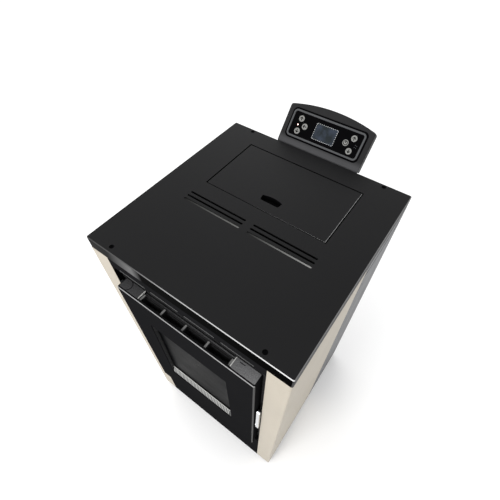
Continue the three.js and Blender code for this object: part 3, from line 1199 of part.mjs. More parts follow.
function exhaustHousing() {
  const x0 = FAN_X - FAN_HALF_WIDTH;
  const x1 = FAN_X + FAN_HALF_WIDTH;
  const i0 = x0 + FAN_WALL;
  const i1 = x1 - FAN_WALL;
  const low = FAN_HEIGHT - FAN_RADIUS;
  const ductFront = BOX_REAR + SEAT;
  const ductRear = BOX_REAR + SMOKE_DUCT_DEPTH;
  const dropFront = ductRear - SMOKE_DROP_DEPTH;
  const outer = join(
    rodX(FAN_RADIUS, x0, x1, FAN_Y, FAN_HEIGHT, ROUND_SIDES),
    slab(x0, x1, ductFront, ductRear, SMOKE_DUCT_TOP - SMOKE_MOUTH_HEIGHT - 2 * FAN_WALL, SMOKE_DUCT_TOP),
    slab(x0, x1, dropFront, ductRear, FAN_HEIGHT, SMOKE_DUCT_TOP),
    slab(x0, x1, FAN_Y, FAN_OUTLET_REAR, low, low + FAN_OUTLET_HEIGHT),
    ...[i0, i1 - FAN_FOOT].map((x) =>
      slab(x, x + FAN_FOOT, FAN_Y - FAN_BASE / 2, FAN_Y + FAN_BASE / 2, TRAY_FLOOR + SEAT, FAN_HEIGHT)),
  );
  const inner = join(
    rodX(FAN_RADIUS - FAN_WALL, i0, i1, FAN_Y, FAN_HEIGHT, ROUND_SIDES),
    slab(i0, i1, ductFront - 1, ductRear - FAN_WALL, SMOKE_DUCT_TOP - SMOKE_MOUTH_HEIGHT - FAN_WALL,
      SMOKE_DUCT_TOP - FAN_WALL),
    slab(i0, i1, dropFront + FAN_WALL, ductRear - FAN_WALL, FAN_HEIGHT, SMOKE_DUCT_TOP - FAN_WALL),
    slab(i0, i1, FAN_Y, FAN_OUTLET_REAR + 1, low + FAN_WALL, low + FAN_OUTLET_HEIGHT - FAN_WALL),
  );
  const shaft = rodX(FAN_SHAFT_RADIUS + PIN_CLEARANCE, i1 - 1, x1 + 1, FAN_Y, FAN_HEIGHT);
  return piece("exhaust_fan_housing", cut(outer, inner, shaft), BARE_STEEL);
}

function exhaustImpeller() {
  const right = FAN_HALF_WIDTH - FAN_WALL - IMPELLER_GAP;
  const left = -right;
  const disc = rodX(IMPELLER_RADIUS, right - IMPELLER_DISC, right, 0, 0);
  const hub = rodX(IMPELLER_HUB, left, right, 0, 0, 16);
  const shaft = rodX(FAN_SHAFT_RADIUS, right - 1, FAN_HALF_WIDTH + FAN_MOTOR_LENGTH / 2, 0, 0);
  const blades = count(IMPELLER_BLADES).map((i) => {
    const blade = slab(left, right - 1, IMPELLER_HUB - 2, IMPELLER_RADIUS - 1, -IMPELLER_BLADE / 2,
      IMPELLER_BLADE / 2);
    return blade.rotateX((2 * Math.PI * i) / IMPELLER_BLADES);
  });
  const wheel = piece("exhaust_impeller", join(disc, hub, shaft, ...blades), BARE_STEEL);
  wheel.position.set(FAN_X, FAN_Y, FAN_HEIGHT);
  return wheel;
}

function exhaustMotor() {
  const x0 = FAN_X + FAN_HALF_WIDTH + SEAT;
  const x1 = x0 + FAN_MOTOR_LENGTH;
  const can = rodX(FAN_MOTOR_RADIUS, x0, x1, FAN_Y, FAN_HEIGHT);
  const boreEnd = x0 + FAN_MOTOR_LENGTH / 2 + 2;
  const bore = rodX(FAN_SHAFT_RADIUS + PIN_CLEARANCE, x0 - 1, boreEnd, FAN_Y, FAN_HEIGHT);
  return piece("exhaust_fan_motor", cut(can, bore), BARE_STEEL);
}

function flueOutlet() {
  const y0 = FAN_OUTLET_REAR + SEAT;
  const y1 = DEPTH + FLUE_REACH;
  const beadRear = y1 - FLUE_BEAD_INSET;
  const pipe = rodY(FLUE_RADIUS, y0, y1, FAN_X, FLUE_HEIGHT, ROUND_SIDES);
  const bead = rodY(FLUE_RADIUS + FLUE_WALL, beadRear - FLUE_BEAD, beadRear, FAN_X, FLUE_HEIGHT, ROUND_SIDES);
  const bore = rodY(FLUE_RADIUS - FLUE_WALL, y0 - 1, y1 + 1, FAN_X, FLUE_HEIGHT, ROUND_SIDES);
  return piece("flue_outlet", cut(join(pipe, bead), bore), BARE_STEEL);
}

function airInlet() {
  const tube = tubeY(AIR_RADIUS, AIR_WALL, BOX_REAR + SEAT, DEPTH + AIR_REACH, AIR_X, AIR_HEIGHT);
  return piece("air_inlet", tube, BARE_STEEL);
}

function blowerHousing() {
  const low = TRAY_FLOOR + SEAT;
  const high = low + BLOWER_HEIGHT;
  const rear = BLOWER_FRONT + BLOWER_DEPTH;
  const half = BLOWER_HALF_WIDTH;
  const wall = BLOWER_WALL;
  const shell = slab(-half, half, BLOWER_FRONT, rear, low, high);
  const hollow = slab(-half + wall, half - wall, BLOWER_FRONT + wall, rear - wall, low + wall, high + 1);
  const intake = slab(-half + wall, half - wall, BLOWER_FRONT - 1, BLOWER_FRONT + wall + 1,
    low + wall + BLOWER_SILL, low + BLOWER_HEIGHT / 2);
  const bore = rodX(FAN_SHAFT_RADIUS + PIN_CLEARANCE, -half - 1, half + 1, ROTOR_Y, ROTOR_Z);
  return piece("room_fan_housing", cut(shell, hollow, intake, bore), ZINC_SHEET);
}

function blowerRotor() {
  const half = ROTOR_HALF_LENGTH;
  const shaft = rodX(FAN_SHAFT_RADIUS, -BLOWER_HALF_WIDTH, BLOWER_HALF_WIDTH, 0, 0);
  const discs = [-half, -ROTOR_DISC / 2, half - ROTOR_DISC].map((x) =>
    rodX(ROTOR_RADIUS, x, x + ROTOR_DISC, 0, 0, 16));
  const blades = count(ROTOR_BLADES).map((i) => {
    const blade = slab(-half + 1, half - 1, ROTOR_RADIUS - ROTOR_BLADE_DEPTH, ROTOR_RADIUS - 1,
      -ROTOR_BLADE / 2, ROTOR_BLADE / 2);
    return blade.rotateX((2 * Math.PI * i) / ROTOR_BLADES);
  });
  const rotor = piece("room_fan_rotor", join(shaft, ...discs, ...blades), BARE_STEEL);
  rotor.position.set(0, ROTOR_Y, ROTOR_Z);
  return rotor;
}

// ---------- Electrics ----------

function controlBox() {
  const { depth, height, width, rearGap, base } = CONTROL_BOX;
  const x0 = CHASSIS_HALF_WIDTH + 2 * SEAT + SHEET;
  const rear = DEPTH - rearGap;
  return piece("control_box", slab(x0, x0 + width, rear - depth, rear, base, base + height), GREY_ABS);
}

function powerInlet() {
  const w = INLET_HALF_WIDTH;
  const h = INLET_HALF_HEIGHT;
  const face = DEPTH + SEAT;
  const block = (grow, y0, y1) =>
    slab(INLET_X - w - grow, INLET_X + w + grow, y0, y1, INLET_HEIGHT - h - grow, INLET_HEIGHT + h + grow);
  const body = block(0, face - INLET_DEPTH, face + 1);
  const flange = block(INLET_FLANGE, face, face + INLET_FLANGE_THICKNESS);
  const socketHalf = w - INLET_WALL;
  const socketTop = INLET_HEIGHT + SOCKET_TOP;
  const front = face + INLET_FLANGE_THICKNESS + 1;
  const socket = slab(INLET_X - socketHalf, INLET_X + socketHalf, face - SOCKET_DEPTH, front,
    INLET_HEIGHT - h + INLET_WALL, socketTop);
  const wellHalf = SWITCH_HALF_WIDTH + SWITCH_CLEARANCE;
  const wellRise = SWITCH_HALF_HEIGHT + SWITCH_CLEARANCE;
  const well = slab(INLET_X - wellHalf, INLET_X + wellHalf, face - SOCKET_DEPTH, front,
    switchHeight() - wellRise, switchHeight() + wellRise);
  const pinWidth = SOCKET_PIN_HALF_WIDTH;
  const pinHeight = SOCKET_PIN_HALF_HEIGHT;
  const pins = SOCKET_PINS.map(([dx, dz]) => {
    const x = INLET_X + dx;
    const z = INLET_HEIGHT - h / 2 + dz;
    return slab(x - pinWidth, x + pinWidth, face - SOCKET_DEPTH - 1, face - SOCKET_PIN_SETBACK, z - pinHeight,
      z + pinHeight);
  });
  const axleHalf = SWITCH_HALF_WIDTH + 2;
  const axle = rodX(SWITCH_AXLE_RADIUS, INLET_X - axleHalf, INLET_X + axleHalf, switchAxisY(), switchHeight(),
    SMALL_SIDES);
  return piece("power_inlet", join(cut(join(body, flange), socket, well), ...pins, axle), GLOSS_BLACK);
}

const switchHeight = () =>
  INLET_HEIGHT + INLET_HALF_HEIGHT - INLET_WALL - SWITCH_HALF_HEIGHT - SWITCH_CLEARANCE;
const switchAxisY = () => DEPTH + SEAT - SWITCH_THICKNESS / 2;

// A rocker with two flats that meet at its middle, at rest with its lower half pressed in.
function powerSwitch() {
  const half = SWITCH_HALF_HEIGHT;
  const end = half - SWITCH_CLEARANCE;
  const rise = half * Math.tan(radians(SWITCH_TILT));
  const deep = -SWITCH_THICKNESS / 2;
  const high = SWITCH_THICKNESS / 2 + 1;
  const outline = [[deep, -end], [high + rise, -end], [high, 0], [high + rise, end], [deep, end]];
  const axle = rodX(SWITCH_AXLE_RADIUS + PIN_CLEARANCE, -HALF, HALF, 0, 0, SMALL_SIDES);
  const rocker = cut(prismX(outline, -SWITCH_HALF_WIDTH, SWITCH_HALF_WIDTH), axle);
  const button = piece("power_switch", rocker, GLOSS_BLACK);
  button.position.set(INLET_X, switchAxisY(), switchHeight());
  button.rotation.x = -radians(SWITCH_TILT);
  return button;
}

// ---------- The stove ----------

function casing() {
  const group = new THREE.Group();
  group.add(basePlate(), ...feet(), topCover(), ...topScrews(), backPanel(), upperFront(), lowerFront());
  group.add(chassisPlate("chassis_left", -1), chassisPlate("chassis_right", 1));
  group.add(paintedPanel("side_panel_front_left", -1), paintedPanel("side_panel_front_right", 1));
  group.add(rearPanel("side_panel_rear_left", -1), rearPanel("side_panel_rear_right", 1));
  return group;
}

function feedAndFire() {
  const group = new THREE.Group();
  group.add(hopper(), lidPin(), hopperLid(), augerTube(), augerScrew(), augerMotor(), dropChute());
  group.add(firebox(), ...hingePins(), fireBack(), baffle(), burnPot(), ashPan());
  return group;
}

function door() {
  const group = new THREE.Group();
  group.add(doorSkin(), doorCasting(), doorGlass(), glassRetainer(), windowSill(), doorRope(), doorHandle());
  return group;
}

function airAndPower() {
  const group = new THREE.Group();
  group.add(exhaustHousing(), exhaustImpeller(), exhaustMotor(), flueOutlet(), airInlet());
  group.add(blowerHousing(), blowerRotor(), controlBox(), powerInlet(), powerSwitch());
  return group;
}

const stove = new THREE.Group();
stove.add(casing(), feedAndFire(), door(), airAndPower(), controlPanel());

// The origin is on the floor, at the middle of the stove's footprint.
const reach = new THREE.Box3().setFromObject(stove, true);
stove.position.y = -(reach.min.y + reach.max.y) / 2;

export default stove;
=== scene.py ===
import json
import math

import bmesh
import bpy
from mathutils import Matrix, Vector


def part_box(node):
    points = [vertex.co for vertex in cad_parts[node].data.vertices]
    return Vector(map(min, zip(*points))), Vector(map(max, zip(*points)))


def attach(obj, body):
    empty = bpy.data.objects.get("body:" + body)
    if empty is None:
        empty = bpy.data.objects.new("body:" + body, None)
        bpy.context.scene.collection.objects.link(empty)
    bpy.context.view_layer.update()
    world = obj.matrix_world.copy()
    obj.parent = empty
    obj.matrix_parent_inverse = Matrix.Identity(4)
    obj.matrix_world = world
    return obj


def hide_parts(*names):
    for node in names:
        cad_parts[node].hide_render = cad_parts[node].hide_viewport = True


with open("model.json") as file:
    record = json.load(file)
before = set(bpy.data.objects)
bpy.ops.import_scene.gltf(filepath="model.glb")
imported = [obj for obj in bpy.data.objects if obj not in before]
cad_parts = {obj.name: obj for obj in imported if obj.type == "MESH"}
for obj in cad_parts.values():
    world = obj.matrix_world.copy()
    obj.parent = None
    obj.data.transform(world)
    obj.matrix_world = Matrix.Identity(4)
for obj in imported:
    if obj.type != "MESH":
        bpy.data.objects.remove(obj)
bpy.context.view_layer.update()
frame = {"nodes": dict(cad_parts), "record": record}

bl_info = {
    "name": "Pellet Stove Dressing",
    "version": (1, 0, 0),
    "blender": (4, 5, 0),
    "location": "3D View > Sidebar > Stove",
    "description": "Models the visible pieces of a pellet stove over its fixed frame",
    "category": "Object",
}

MM = 0.001
LIP_LIGHT_FULL = 938  # height up to which the control panel's lower lip is drawn fully lighter, in millimetres
LIP_LIGHT_END = 948
# The drawing's own origin: the middle of the casing's front face, on the floor.
FRONT = Vector((0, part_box("top_cover")[0][1], 0))


# ---------- Places and colours ----------

def at(x, y, z):
    """A point of the drawing, in millimetres, as a place in the scene."""
    return Vector((x, y, z)) * MM + FRONT


def where(place):
    """A place in the scene as a point of the drawing, in millimetres."""
    return (place - FRONT) / MM


def span(node):
    """The lowest and highest corner of a node of the frame, in millimetres of the drawing."""
    low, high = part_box(node)
    return where(Vector(low)), where(Vector(high))


def middle(node):
    """The middle of a node of the frame, in millimetres of the drawing."""
    low, high = span(node)
    return (low + high) / 2


def linear(code):
    """An sRGB hex colour as the linear values that a shader takes."""
    parts = [int(code[i:i + 2], 16) / 255 for i in (1, 3, 5)]
    return [p / 12.92 if p <= 0.04045 else ((p + 0.055) / 1.055) ** 2.4 for p in parts] + [1.0]


def tone(colour, factor):
    """A linear colour made lighter or darker."""
    return [channel * factor for channel in colour[:3]] + [1.0]


# ---------- Materials ----------

class Finish:
    """A material while it is made: its nodes, its shader and the Object coordinates in metres."""

    def __init__(self, name, sockets):
        self.material = bpy.data.materials.new(name)
        self.material.use_nodes = True
        self.tree = self.material.node_tree
        self.tree.nodes.clear()
        self.shader = self.add("ShaderNodeBsdfPrincipled", sockets)
        self.add("ShaderNodeOutputMaterial", {"Surface": self.shader.outputs["BSDF"]})
        self.place = self.add("ShaderNodeTexCoord", {}).outputs["Object"]

    def add(self, kind, sockets, **settings):
        """Adds a node, sets its properties, and sets or links its sockets."""
        made = self.tree.nodes.new(kind)
        for name, value in settings.items():
            setattr(made, name, value)
        for name, value in sockets.items():
            if isinstance(value, bpy.types.NodeSocket):
                self.tree.links.new(value, made.inputs[name])
            else:
                made.inputs[name].default_value = value
        return made

    def noise(self, size, detail, **sockets):
        """Cloudy noise whose features are that many millimetres across."""
        sockets = {"Vector": self.place, "Scale": 1 / (size * MM), "Detail": detail, **sockets}
        return self.add("ShaderNodeTexNoise", sockets).outputs["Fac"]

    def cells(self, size, randomness=1.0):
        """Scattered cells that many millimetres across, each dark at its middle."""
        sockets = {"Vector": self.place, "Scale": 1 / (size * MM), "Randomness": randomness}
        return self.add("ShaderNodeTexVoronoi", sockets).outputs["Distance"]

    def spread(self, value, low, high, start=0.0, end=1.0):
        """A value that runs from start to end, as one that runs from low to high."""
        sockets = {"Value": value, "From Min": start, "From Max": end, "To Min": low, "To Max": high}
        return self.add("ShaderNodeMapRange", sockets).outputs["Result"]

    def mixed(self, how, *values):
        """Two or three values, combined by an operation."""
        return self.add("ShaderNodeMath", dict(enumerate(values)), operation=how).outputs["Value"]

    def scaled(self, colour, factor):
        """A colour made lighter or darker by a value."""
        sockets = {"Vector": colour, "Scale": factor}
        return self.add("ShaderNodeVectorMath", sockets, operation="SCALE").outputs["Vector"]

    def along(self, axis):
        """The place along an axis, in metres."""
        return self.add("ShaderNodeSeparateXYZ", {"Vector": self.place}).outputs[axis]

    def ramp(self, value, stops):
        """A colour that follows a value; each stop gives a value and a linear colour."""
        made = self.add("ShaderNodeValToRGB", {"Fac": value})
        for i, (position, colour) in enumerate(stops):
            stop = made.color_ramp.elements[i] if i < 2 else made.color_ramp.elements.new(position)
            stop.position = position
            stop.color = colour
        return made.outputs["Color"]

    def tinted(self, value, colour, *stops):
        """A colour whose lightness follows a value; each stop gives a value and a factor."""
        return self.ramp(value, [(position, tone(colour, factor)) for position, factor in stops])

    def across(self, stops):
        """A colour that changes along X; each stop gives a place in millimetres and an sRGB colour."""
        start, end = stops[0][0], stops[-1][0]
        share = self.spread(self.along("X"), 0.0, 1.0, start * MM, end * MM)
        return self.ramp(share, [((x - start) / (end - start), linear(code)) for x, code in stops])

    def done(self, colour, roughness=None, relief=None):
        """Links the colour, the roughness and the relief, a height with its strength and its millimetres."""
        links = {"Base Color": colour, "Roughness": roughness}
        if relief:
            height, strength, depth = relief
            bump = {"Height": height, "Strength": strength, "Distance": depth * MM}
            links["Normal"] = self.add("ShaderNodeBump", bump).outputs["Normal"]
        for name, source in links.items():
            if source is not None:
                self.tree.links.new(source, self.shader.inputs[name])
        return self.material


def powder_coat(name, colour, roughness, grain, depth, specular=0.5, speckle=0.07):
    """Polyester powder sprayed on steel sheet and baked: a close even grain and a soft sheen.

    The colour is one linear colour, or the stops of a colour that changes along X.
    """
    coat = Finish(name, {"IOR": 1.5, "Specular IOR Level": specular})
    # The grit of the coat, drawn coarser than its real 0.2 mm so that it shows.
    grit = coat.noise(grain, 4.0, Roughness=0.6)
    # Uneven film thickness over a hand's width shifts the tone slightly, and the grit flecks it.
    film = coat.spread(coat.noise(120, 3.0), 0.97, 1.03, 0.3, 0.7)
    fleck = coat.spread(grit, 1 - speckle, 1 + speckle, 0.35, 0.65)
    base = coat.across(colour) if isinstance(colour[0], tuple) else colour[:3]
    sheen = coat.spread(grit, roughness - 0.05, roughness + 0.07, 0.3, 0.7)
    return coat.done(coat.scaled(base, coat.mixed("MULTIPLY", film, fleck)), sheen, (grit, 0.5, depth))


def galvanised_steel(name, colour):
    """Hot-dip galvanised steel sheet: faint zinc spangles about 9 mm across, each its own grey."""
    zinc = Finish(name, {"Metallic": 0.85})
    spangle, haze = zinc.cells(9), zinc.noise(60, 4.0)
    hue = zinc.tinted(zinc.mixed("MULTIPLY_ADD", spangle, haze, 0.2), colour, (0.2, 0.78), (0.75, 1.12))
    return zinc.done(hue, zinc.spread(haze, 0.36, 0.56), (spangle, 0.12, 0.1))


def painted_iron(name, colour, soot=0.0, specular=0.25):
    """Cast iron or plate in heat-proof paint: a sandy, dry surface that takes soot near the fire."""
    iron = Finish(name, {"IOR": 1.45, "Specular IOR Level": specular})
    sand, patch = iron.noise(1.1, 5.0, Roughness=0.65), iron.noise(45, 5.0)
    hue = iron.tinted(patch, colour, (0.35, 0.8 - soot), (0.68, 1.2))
    return iron.done(hue, iron.spread(patch, 0.55, 0.85), (sand, 0.55, 0.35))


def brushed_steel(name, colour, stretch):
    """Rolled or brushed bare steel: fine lines along the rolling direction that spread the highlights."""
    steel = Finish(name, {"Metallic": 1.0})
    drawn = steel.add("ShaderNodeMapping", {"Vector": steel.place, "Scale": stretch}).outputs["Vector"]
    lines = steel.noise(0.6, 4.0, Vector=drawn)
    stain = steel.tinted(steel.noise(40, 3.0), colour, (0.3, 0.88), (0.7, 1.06))
    return steel.done(stain, steel.spread(lines, 0.27, 0.44, 0.3, 0.7), (lines, 0.15, 0.05))


def chrome_plate(name, colour):
    """Polished chrome plate: mirror bright, with faint finger haze."""
    chrome = Finish(name, {"Metallic": 1.0})
    haze = chrome.noise(18, 3.0)
    return chrome.done(chrome.tinted(haze, colour, (0.35, 0.96), (0.7, 1.0)), chrome.spread(haze, 0.06, 0.16))


def moulded_plastic(name, colour, roughness, grain, depth, lip=0.0):
    """Injection moulded ABS with an eroded grain: tiny leathery pits that break up the sheen."""
    plastic = Finish(name, {"IOR": 1.53, "Specular IOR Level": 0.16})
    pits = plastic.cells(grain)
    hue = plastic.tinted(plastic.noise(35, 2.0), colour, (0.3, 0.93), (0.7, 1.07))
    # The lower lip is drawn lighter below one height, fading to its own tone by a second.
    lower_lift = plastic.spread(plastic.along("Z"), 1.0 + lip, 1.0, LIP_LIGHT_FULL * MM, LIP_LIGHT_END * MM)
    rough = plastic.spread(pits, roughness + 0.06, roughness - 0.05, 0.0, 0.7)
    return plastic.done(plastic.scaled(hue, lower_lift), rough, (pits, 0.4, depth))


def gloss_acrylic(name, colour):
    """Back-printed acrylic sheet: deep even colour under a clear gloss with faint wiping marks."""
    acrylic = Finish(name, {"IOR": 1.49, "Specular IOR Level": 0.02})
    wipe = acrylic.noise(25, 4.0)
    hue = acrylic.tinted(wipe, colour, (0.3, 0.85), (0.75, 1.2))
    return acrylic.done(hue, acrylic.spread(wipe, 0.05, 0.14))


def liquid_crystal(name, colour, glow):
    """A liquid crystal window, unlit: dark blue-grey glass with cloudy bluish patches."""
    crystal = Finish(name, {"IOR": 1.5, "Roughness": 0.2, "Specular IOR Level": 0.05})
    cloud = crystal.mixed("MULTIPLY_ADD", crystal.cells(1.2, 0.2), 0.12, crystal.noise(16, 2.0))
    return crystal.done(crystal.ramp(cloud, ((0.42, colour), (0.78, glow))))


def screen_print(name, colour):
    """Silk-screen ink: a matt light grey with the slight unevenness of the mesh it was pressed through."""
    ink = Finish(name, {"IOR": 1.48})
    mesh = ink.cells(0.5, 0.1)
    return ink.done(ink.tinted(mesh, colour, (0.1, 1.0), (0.8, 0.82)), ink.spread(mesh, 0.35, 0.5))


def moulded_rubber(name, colour, specular=0.5):
    """Moulded rubber: matt and dusty, with dull scuffs where it meets the floor."""
    rubber = Finish(name, {"IOR": 1.52, "Specular IOR Level": specular})
    dust = rubber.noise(7, 5.0)
    hue = rubber.tinted(dust, colour, (0.35, 0.9), (0.75, 1.7))
    return rubber.done(hue, rubber.spread(dust, 0.75, 0.95), (dust, 0.2, 0.2))


def glass_fibre_rope(name, colour):
    """Knitted glass fibre rope: strands about 2 mm thick crossing on the slant, with a soft sheen."""
    rope = Finish(name, {"Roughness": 0.85, "Sheen Weight": 0.3})
    slant = rope.add("ShaderNodeMapping", {"Vector": rope.place, "Rotation": (0, math.radians(45), 0)})
    wave = {"Vector": slant.outputs["Vector"], "Scale": 1 / (7 * MM), "Distortion": 1.5, "Detail": 2.0}
    strands = [rope.add("ShaderNodeTexWave", wave, bands_direction=way).outputs["Fac"] for way in "XZ"]
    weave = rope.mixed("MAXIMUM", *strands)
    return rope.done(rope.tinted(weave, colour, (0.2, 0.5), (0.9, 1.1)), relief=(weave, 0.8, 0.8))


def pressed_vermiculite(name, colour):
    """Pressed vermiculite board: golden mica flakes about 3 mm across in a pale binder."""
    board = Finish(name, {"Roughness": 0.9})
    flakes = board.cells(3)
    return board.done(board.tinted(flakes, colour, (0.1, 0.62), (0.6, 1.1)), relief=(flakes, 0.5, 0.6))


def ceramic_glass(name, colour):
    """Smoked ceramic stove glass: dark when the fire is out, glossy, with a breath of ash dust."""
    glass = Finish(name, {"IOR": 1.54, "Specular IOR Level": 0.004})
    ash = glass.noise(55, 4.0)
    return glass.done(glass.tinted(ash, colour, (0.35, 0.8), (0.75, 1.4)), glass.spread(ash, 0.2, 0.42))


def indicator_lens(name, colour, glow, strength):
    """The dome of an indicator light: clear epoxy that is white at its hot middle when it is lit."""
    lens = Finish(name, {"IOR": 1.55, "Roughness": 0.2, "Emission Color": linear(glow),
                         "Emission Strength": strength})
    return lens.done(lens.tinted(lens.noise(2, 1.0), linear(colour), (0.3, 0.9), (0.7, 1.1)))


def studio_paper(name, colour):
    """Seamless studio paper: white, matt, with a barely visible tooth."""
    paper = Finish(name, {"Roughness": 0.9, "Specular IOR Level": 0.1})
    return paper.done(paper.tinted(paper.noise(4, 2.0), colour, (0.3, 0.99), (0.7, 1.0)))


MATERIALS = {}


def make_coats(colours):
    """Powder coats. Several carry painted light: highlights painted on the folds, lightest toward the right
    front corner; the front fold painted dark with a painted sheen over its left third; the door's grey coat
    painted lighter toward the right; and light painted on the strips under the top slots.
    """
    black = colours.black_coat
    for key, name, colour, *rest in (
        ("black_coat", "powder_coated_steel_black", black, 0.5, 0.9, 0.05, 0.12),
        # A highlight painted along the front top fold, dark grey at the left and near white toward the right.
        ("black_edge", "powder_coat_rubbed_at_the_folds",
         ((-250, "#232323"), (-110, "#444444"), (-20, "#8c8c8c"), (250, "#d2d2d2")), 0.4, 0.9, 0.002, 0.3),
        # A plain grey highlight painted on the cover's right fold and on the rims of the front slots.
        ("side_edge", "powder_coat_rubbed_at_the_sides", linear("#6e6e6e"), 0.4, 0.9, 0.002, 0.3),
        # A highlight painted along the lid's front and right edges, dark at the left and light toward the
        # right.
        ("lid_edge", "powder_coat_rubbed_at_the_lid",
         ((-155, "#0c0c0c"), (-50, "#161616"), (20, "#6c6c6c"), (155, "#b0b0b0")), 0.4, 0.9, 0.002, 0.2),
        # A highlight painted along the door's rolled top edge.
        ("slot_edge", "powder_coat_rubbed_at_the_slots", linear("#8d8d8d"), 0.4, 0.9, 0.002, 0.3),
        # The front fold painted near black, painted shade in place of its reflection of the floor, with a
        # painted sheen over its left third.
        ("black_fold", "powder_coat_on_the_front_fold",
         ((-250, "#2d2d2d"), (-190, "#2a2a2a"), (-122, "#646464"), (-96, "#101010"), (250, "#060606")),
         0.7, 0.9, 0.05, 0.0),
        ("front_coat", "powder_coated_steel_black_front", tone(black, 1.5), 0.65, 0.9, 0.05, 0.0),
        # A highlight painted down the door's right upright edge.
        ("door_edge", "powder_coat_on_the_door_edge", linear("#3f3f3f"), 0.5, 0.9, 0.02, 0.05),
        # The textured grey coat is painted lighter toward the right, a painted reflection.
        ("door_coat", "textured_powder_coat_grey",
         ((-190, "#3c3c3d"), (-120, "#3f3f40"), (120, "#666667"), (190, "#767677")),
         0.6, 2.4, 0.3, 0.15, 0.35),
        ("cream_coat", "powder_coated_steel_cream", colours.cream_coat, 0.45, 1.0, 0.03, 0.2),
        # Strips under the top slots with painted light: in each group of slots they run dark at its left end
        # to light at its right. The coat's grit draws their nap.
        ("felt", "mineral_felt_strip",
         ((-170, "#121212"), (-12, "#787876"), (8, "#1a1a1a"), (170, "#a0a09e")), 0.8, 0.9, 0.1, 0.1),
    ):
        MATERIALS[key] = powder_coat(name, colour, *rest)


def make_materials(colours):
    """Makes every finish of the stove once, from the colours in the panel."""
    make_coats(colours)
    for axis, stretch in (("x", (0.05, 1, 1)), ("y", (1, 0.05, 1)), ("z", (1, 1, 0.05))):
        MATERIALS[f"steel_{axis}"] = brushed_steel(f"rolled_steel_along_{axis}", linear("#a9acae"), stretch)
    MATERIALS.update({
        "zinc_sheet": galvanised_steel("hot_dip_galvanised_sheet", colours.zinc),
        "black_iron": painted_iron("heat_proof_painted_cast_iron", colours.iron),
        "rib_iron": painted_iron("cast_iron_ground_on_the_ribs", linear("#7d7d7c")),
        "sooty_iron": painted_iron("sooted_firebox_plate", colours.iron, 0.2),
        # Black oxide on the screws and door knuckles; the same near black paints shade in the dimples, on the
        # lid opening's walls and in the finger recess.
        "black_oxide": painted_iron("black_oxide_on_screws", linear("#070708"), 0.0, 0.02),
        "cut_edge": screen_print("zinc_flake_sprayed_strip", linear("#c9c9c6")),
        "sill_rib": screen_print("zinc_flake_sprayed_ribs", linear("#a2a2a0")),
        # The sill between its ribs, painted near black as shade so that the light ribs stand out.
        "sill_base": screen_print("zinc_flake_sprayed_sill", linear("#232323")),
        "chrome": chrome_plate("polished_chrome_plate", linear("#d5d7d9")),
        "dark_abs": moulded_plastic("grained_abs_dark", colours.housing, 0.6, 0.9, 0.08, 3.2),
        "grey_abs": moulded_plastic("satin_abs_grey", colours.ring, 0.42, 0.7, 0.03),
        "gloss_black": gloss_acrylic("back_printed_acrylic_black", linear("#030304")),
        "moulded_black": moulded_plastic("moulded_nylon_black", linear("#1c1c1d"), 0.35, 0.8, 0.03),
        "lcd_glass": liquid_crystal("liquid_crystal_window", linear("#252a2d"), linear("#363d49")),
        "white_print": screen_print("silk_screen_white", linear("#e2e2e0")),
        "key_print": screen_print("silk_screen_light_grey", colours.print_ink),
        "black_rubber": moulded_rubber("moulded_rubber_black", linear("#1b1b1c")),
        # Near black, painted shade in the ring's groove and on the return beside the door.
        "groove": moulded_rubber("sealing_cord_black", linear("#040405"), 0.02),
        "glass_rope": glass_fibre_rope("knitted_glass_fibre_rope", linear("#77756f")),
        "refractory": pressed_vermiculite("pressed_vermiculite_board", linear("#b9a888")),
        "door_glass": ceramic_glass("smoked_ceramic_glass", linear("#060607")),
        "lit": indicator_lens("indicator_lens_lit", "#fff2ec", "#ffd9cc", 6.0),
        "halo": indicator_lens("indicator_halo_red", "#5e120d", "#c0281a", 0.12),
        "unlit": indicator_lens("indicator_lens_unlit", "#3a3d40", "#000000", 0.0),
        "paper": studio_paper("seamless_studio_paper", linear("#fbfbfb")),
    })


# ---------- Modelling by hand ----------

def only(*objs):
    """Selects these objects alone and makes the first the active one."""
    bpy.ops.object.select_all(action="DESELECT")
    for obj in objs:
        obj.select_set(True)
    bpy.context.view_layer.objects.active = objs[0]


def edit(obj, kind="FACE"):
    """Opens an object in edit mode with nothing selected."""
    only(obj)
    bpy.ops.object.mode_set(mode="EDIT")
    bpy.ops.mesh.select_mode(type=kind)
    bpy.ops.mesh.select_all(action="DESELECT")


def close():
    """Leaves edit mode."""
    bpy.ops.object.mode_set(mode="OBJECT")


def pick(obj, kind, test):
    """Selects in edit mode the faces, edges or vertices that pass a test."""
    mesh = bmesh.from_edit_mesh(obj.data)
    for element in getattr(mesh, kind):
        if test(element):
            element.select_set(True)
    mesh.select_flush_mode()
    bmesh.update_edit_mesh(obj.data)


def runs(edge, axis):
    """True for an edge that runs along an axis."""
    step = edge.verts[1].co - edge.verts[0].co
    return abs(step[axis]) > 0.999 * step.length > 0


def start_of(edge):
    """The first end of an edge, as a point of the drawing."""
    return where(edge.verts[0].co)


def level(edge, height):
    """True for an edge that lies level, at a height in the drawing."""
    return all(abs(where(v.co).z - height) < 0.01 for v in edge.verts)


def facing(face, axis, sign):
    """True for a face that looks along an axis."""
    return face.normal[axis] * sign > 0.99


def pushed(step):
    """Extrudes what is selected by a step in metres."""
    bpy.ops.mesh.extrude_region_move(TRANSFORM_OT_translate={"value": step})


def resized(value, centre):
    """Resizes what is selected about a point of the drawing."""
    bpy.ops.transform.resize(value=value, center_override=at(*centre))


def applied(obj, matrix=None):
    """Moves an object's place, turn and size into its mesh."""
    if matrix is not None:
        obj.matrix_world = matrix
    only(obj)
    bpy.ops.object.transform_apply(location=True, rotation=True, scale=True)
    return obj


def settle(name):
    """Names the new primitive and moves its place and size into its mesh."""
    made = bpy.context.object
    made.name = name
    return applied(made)


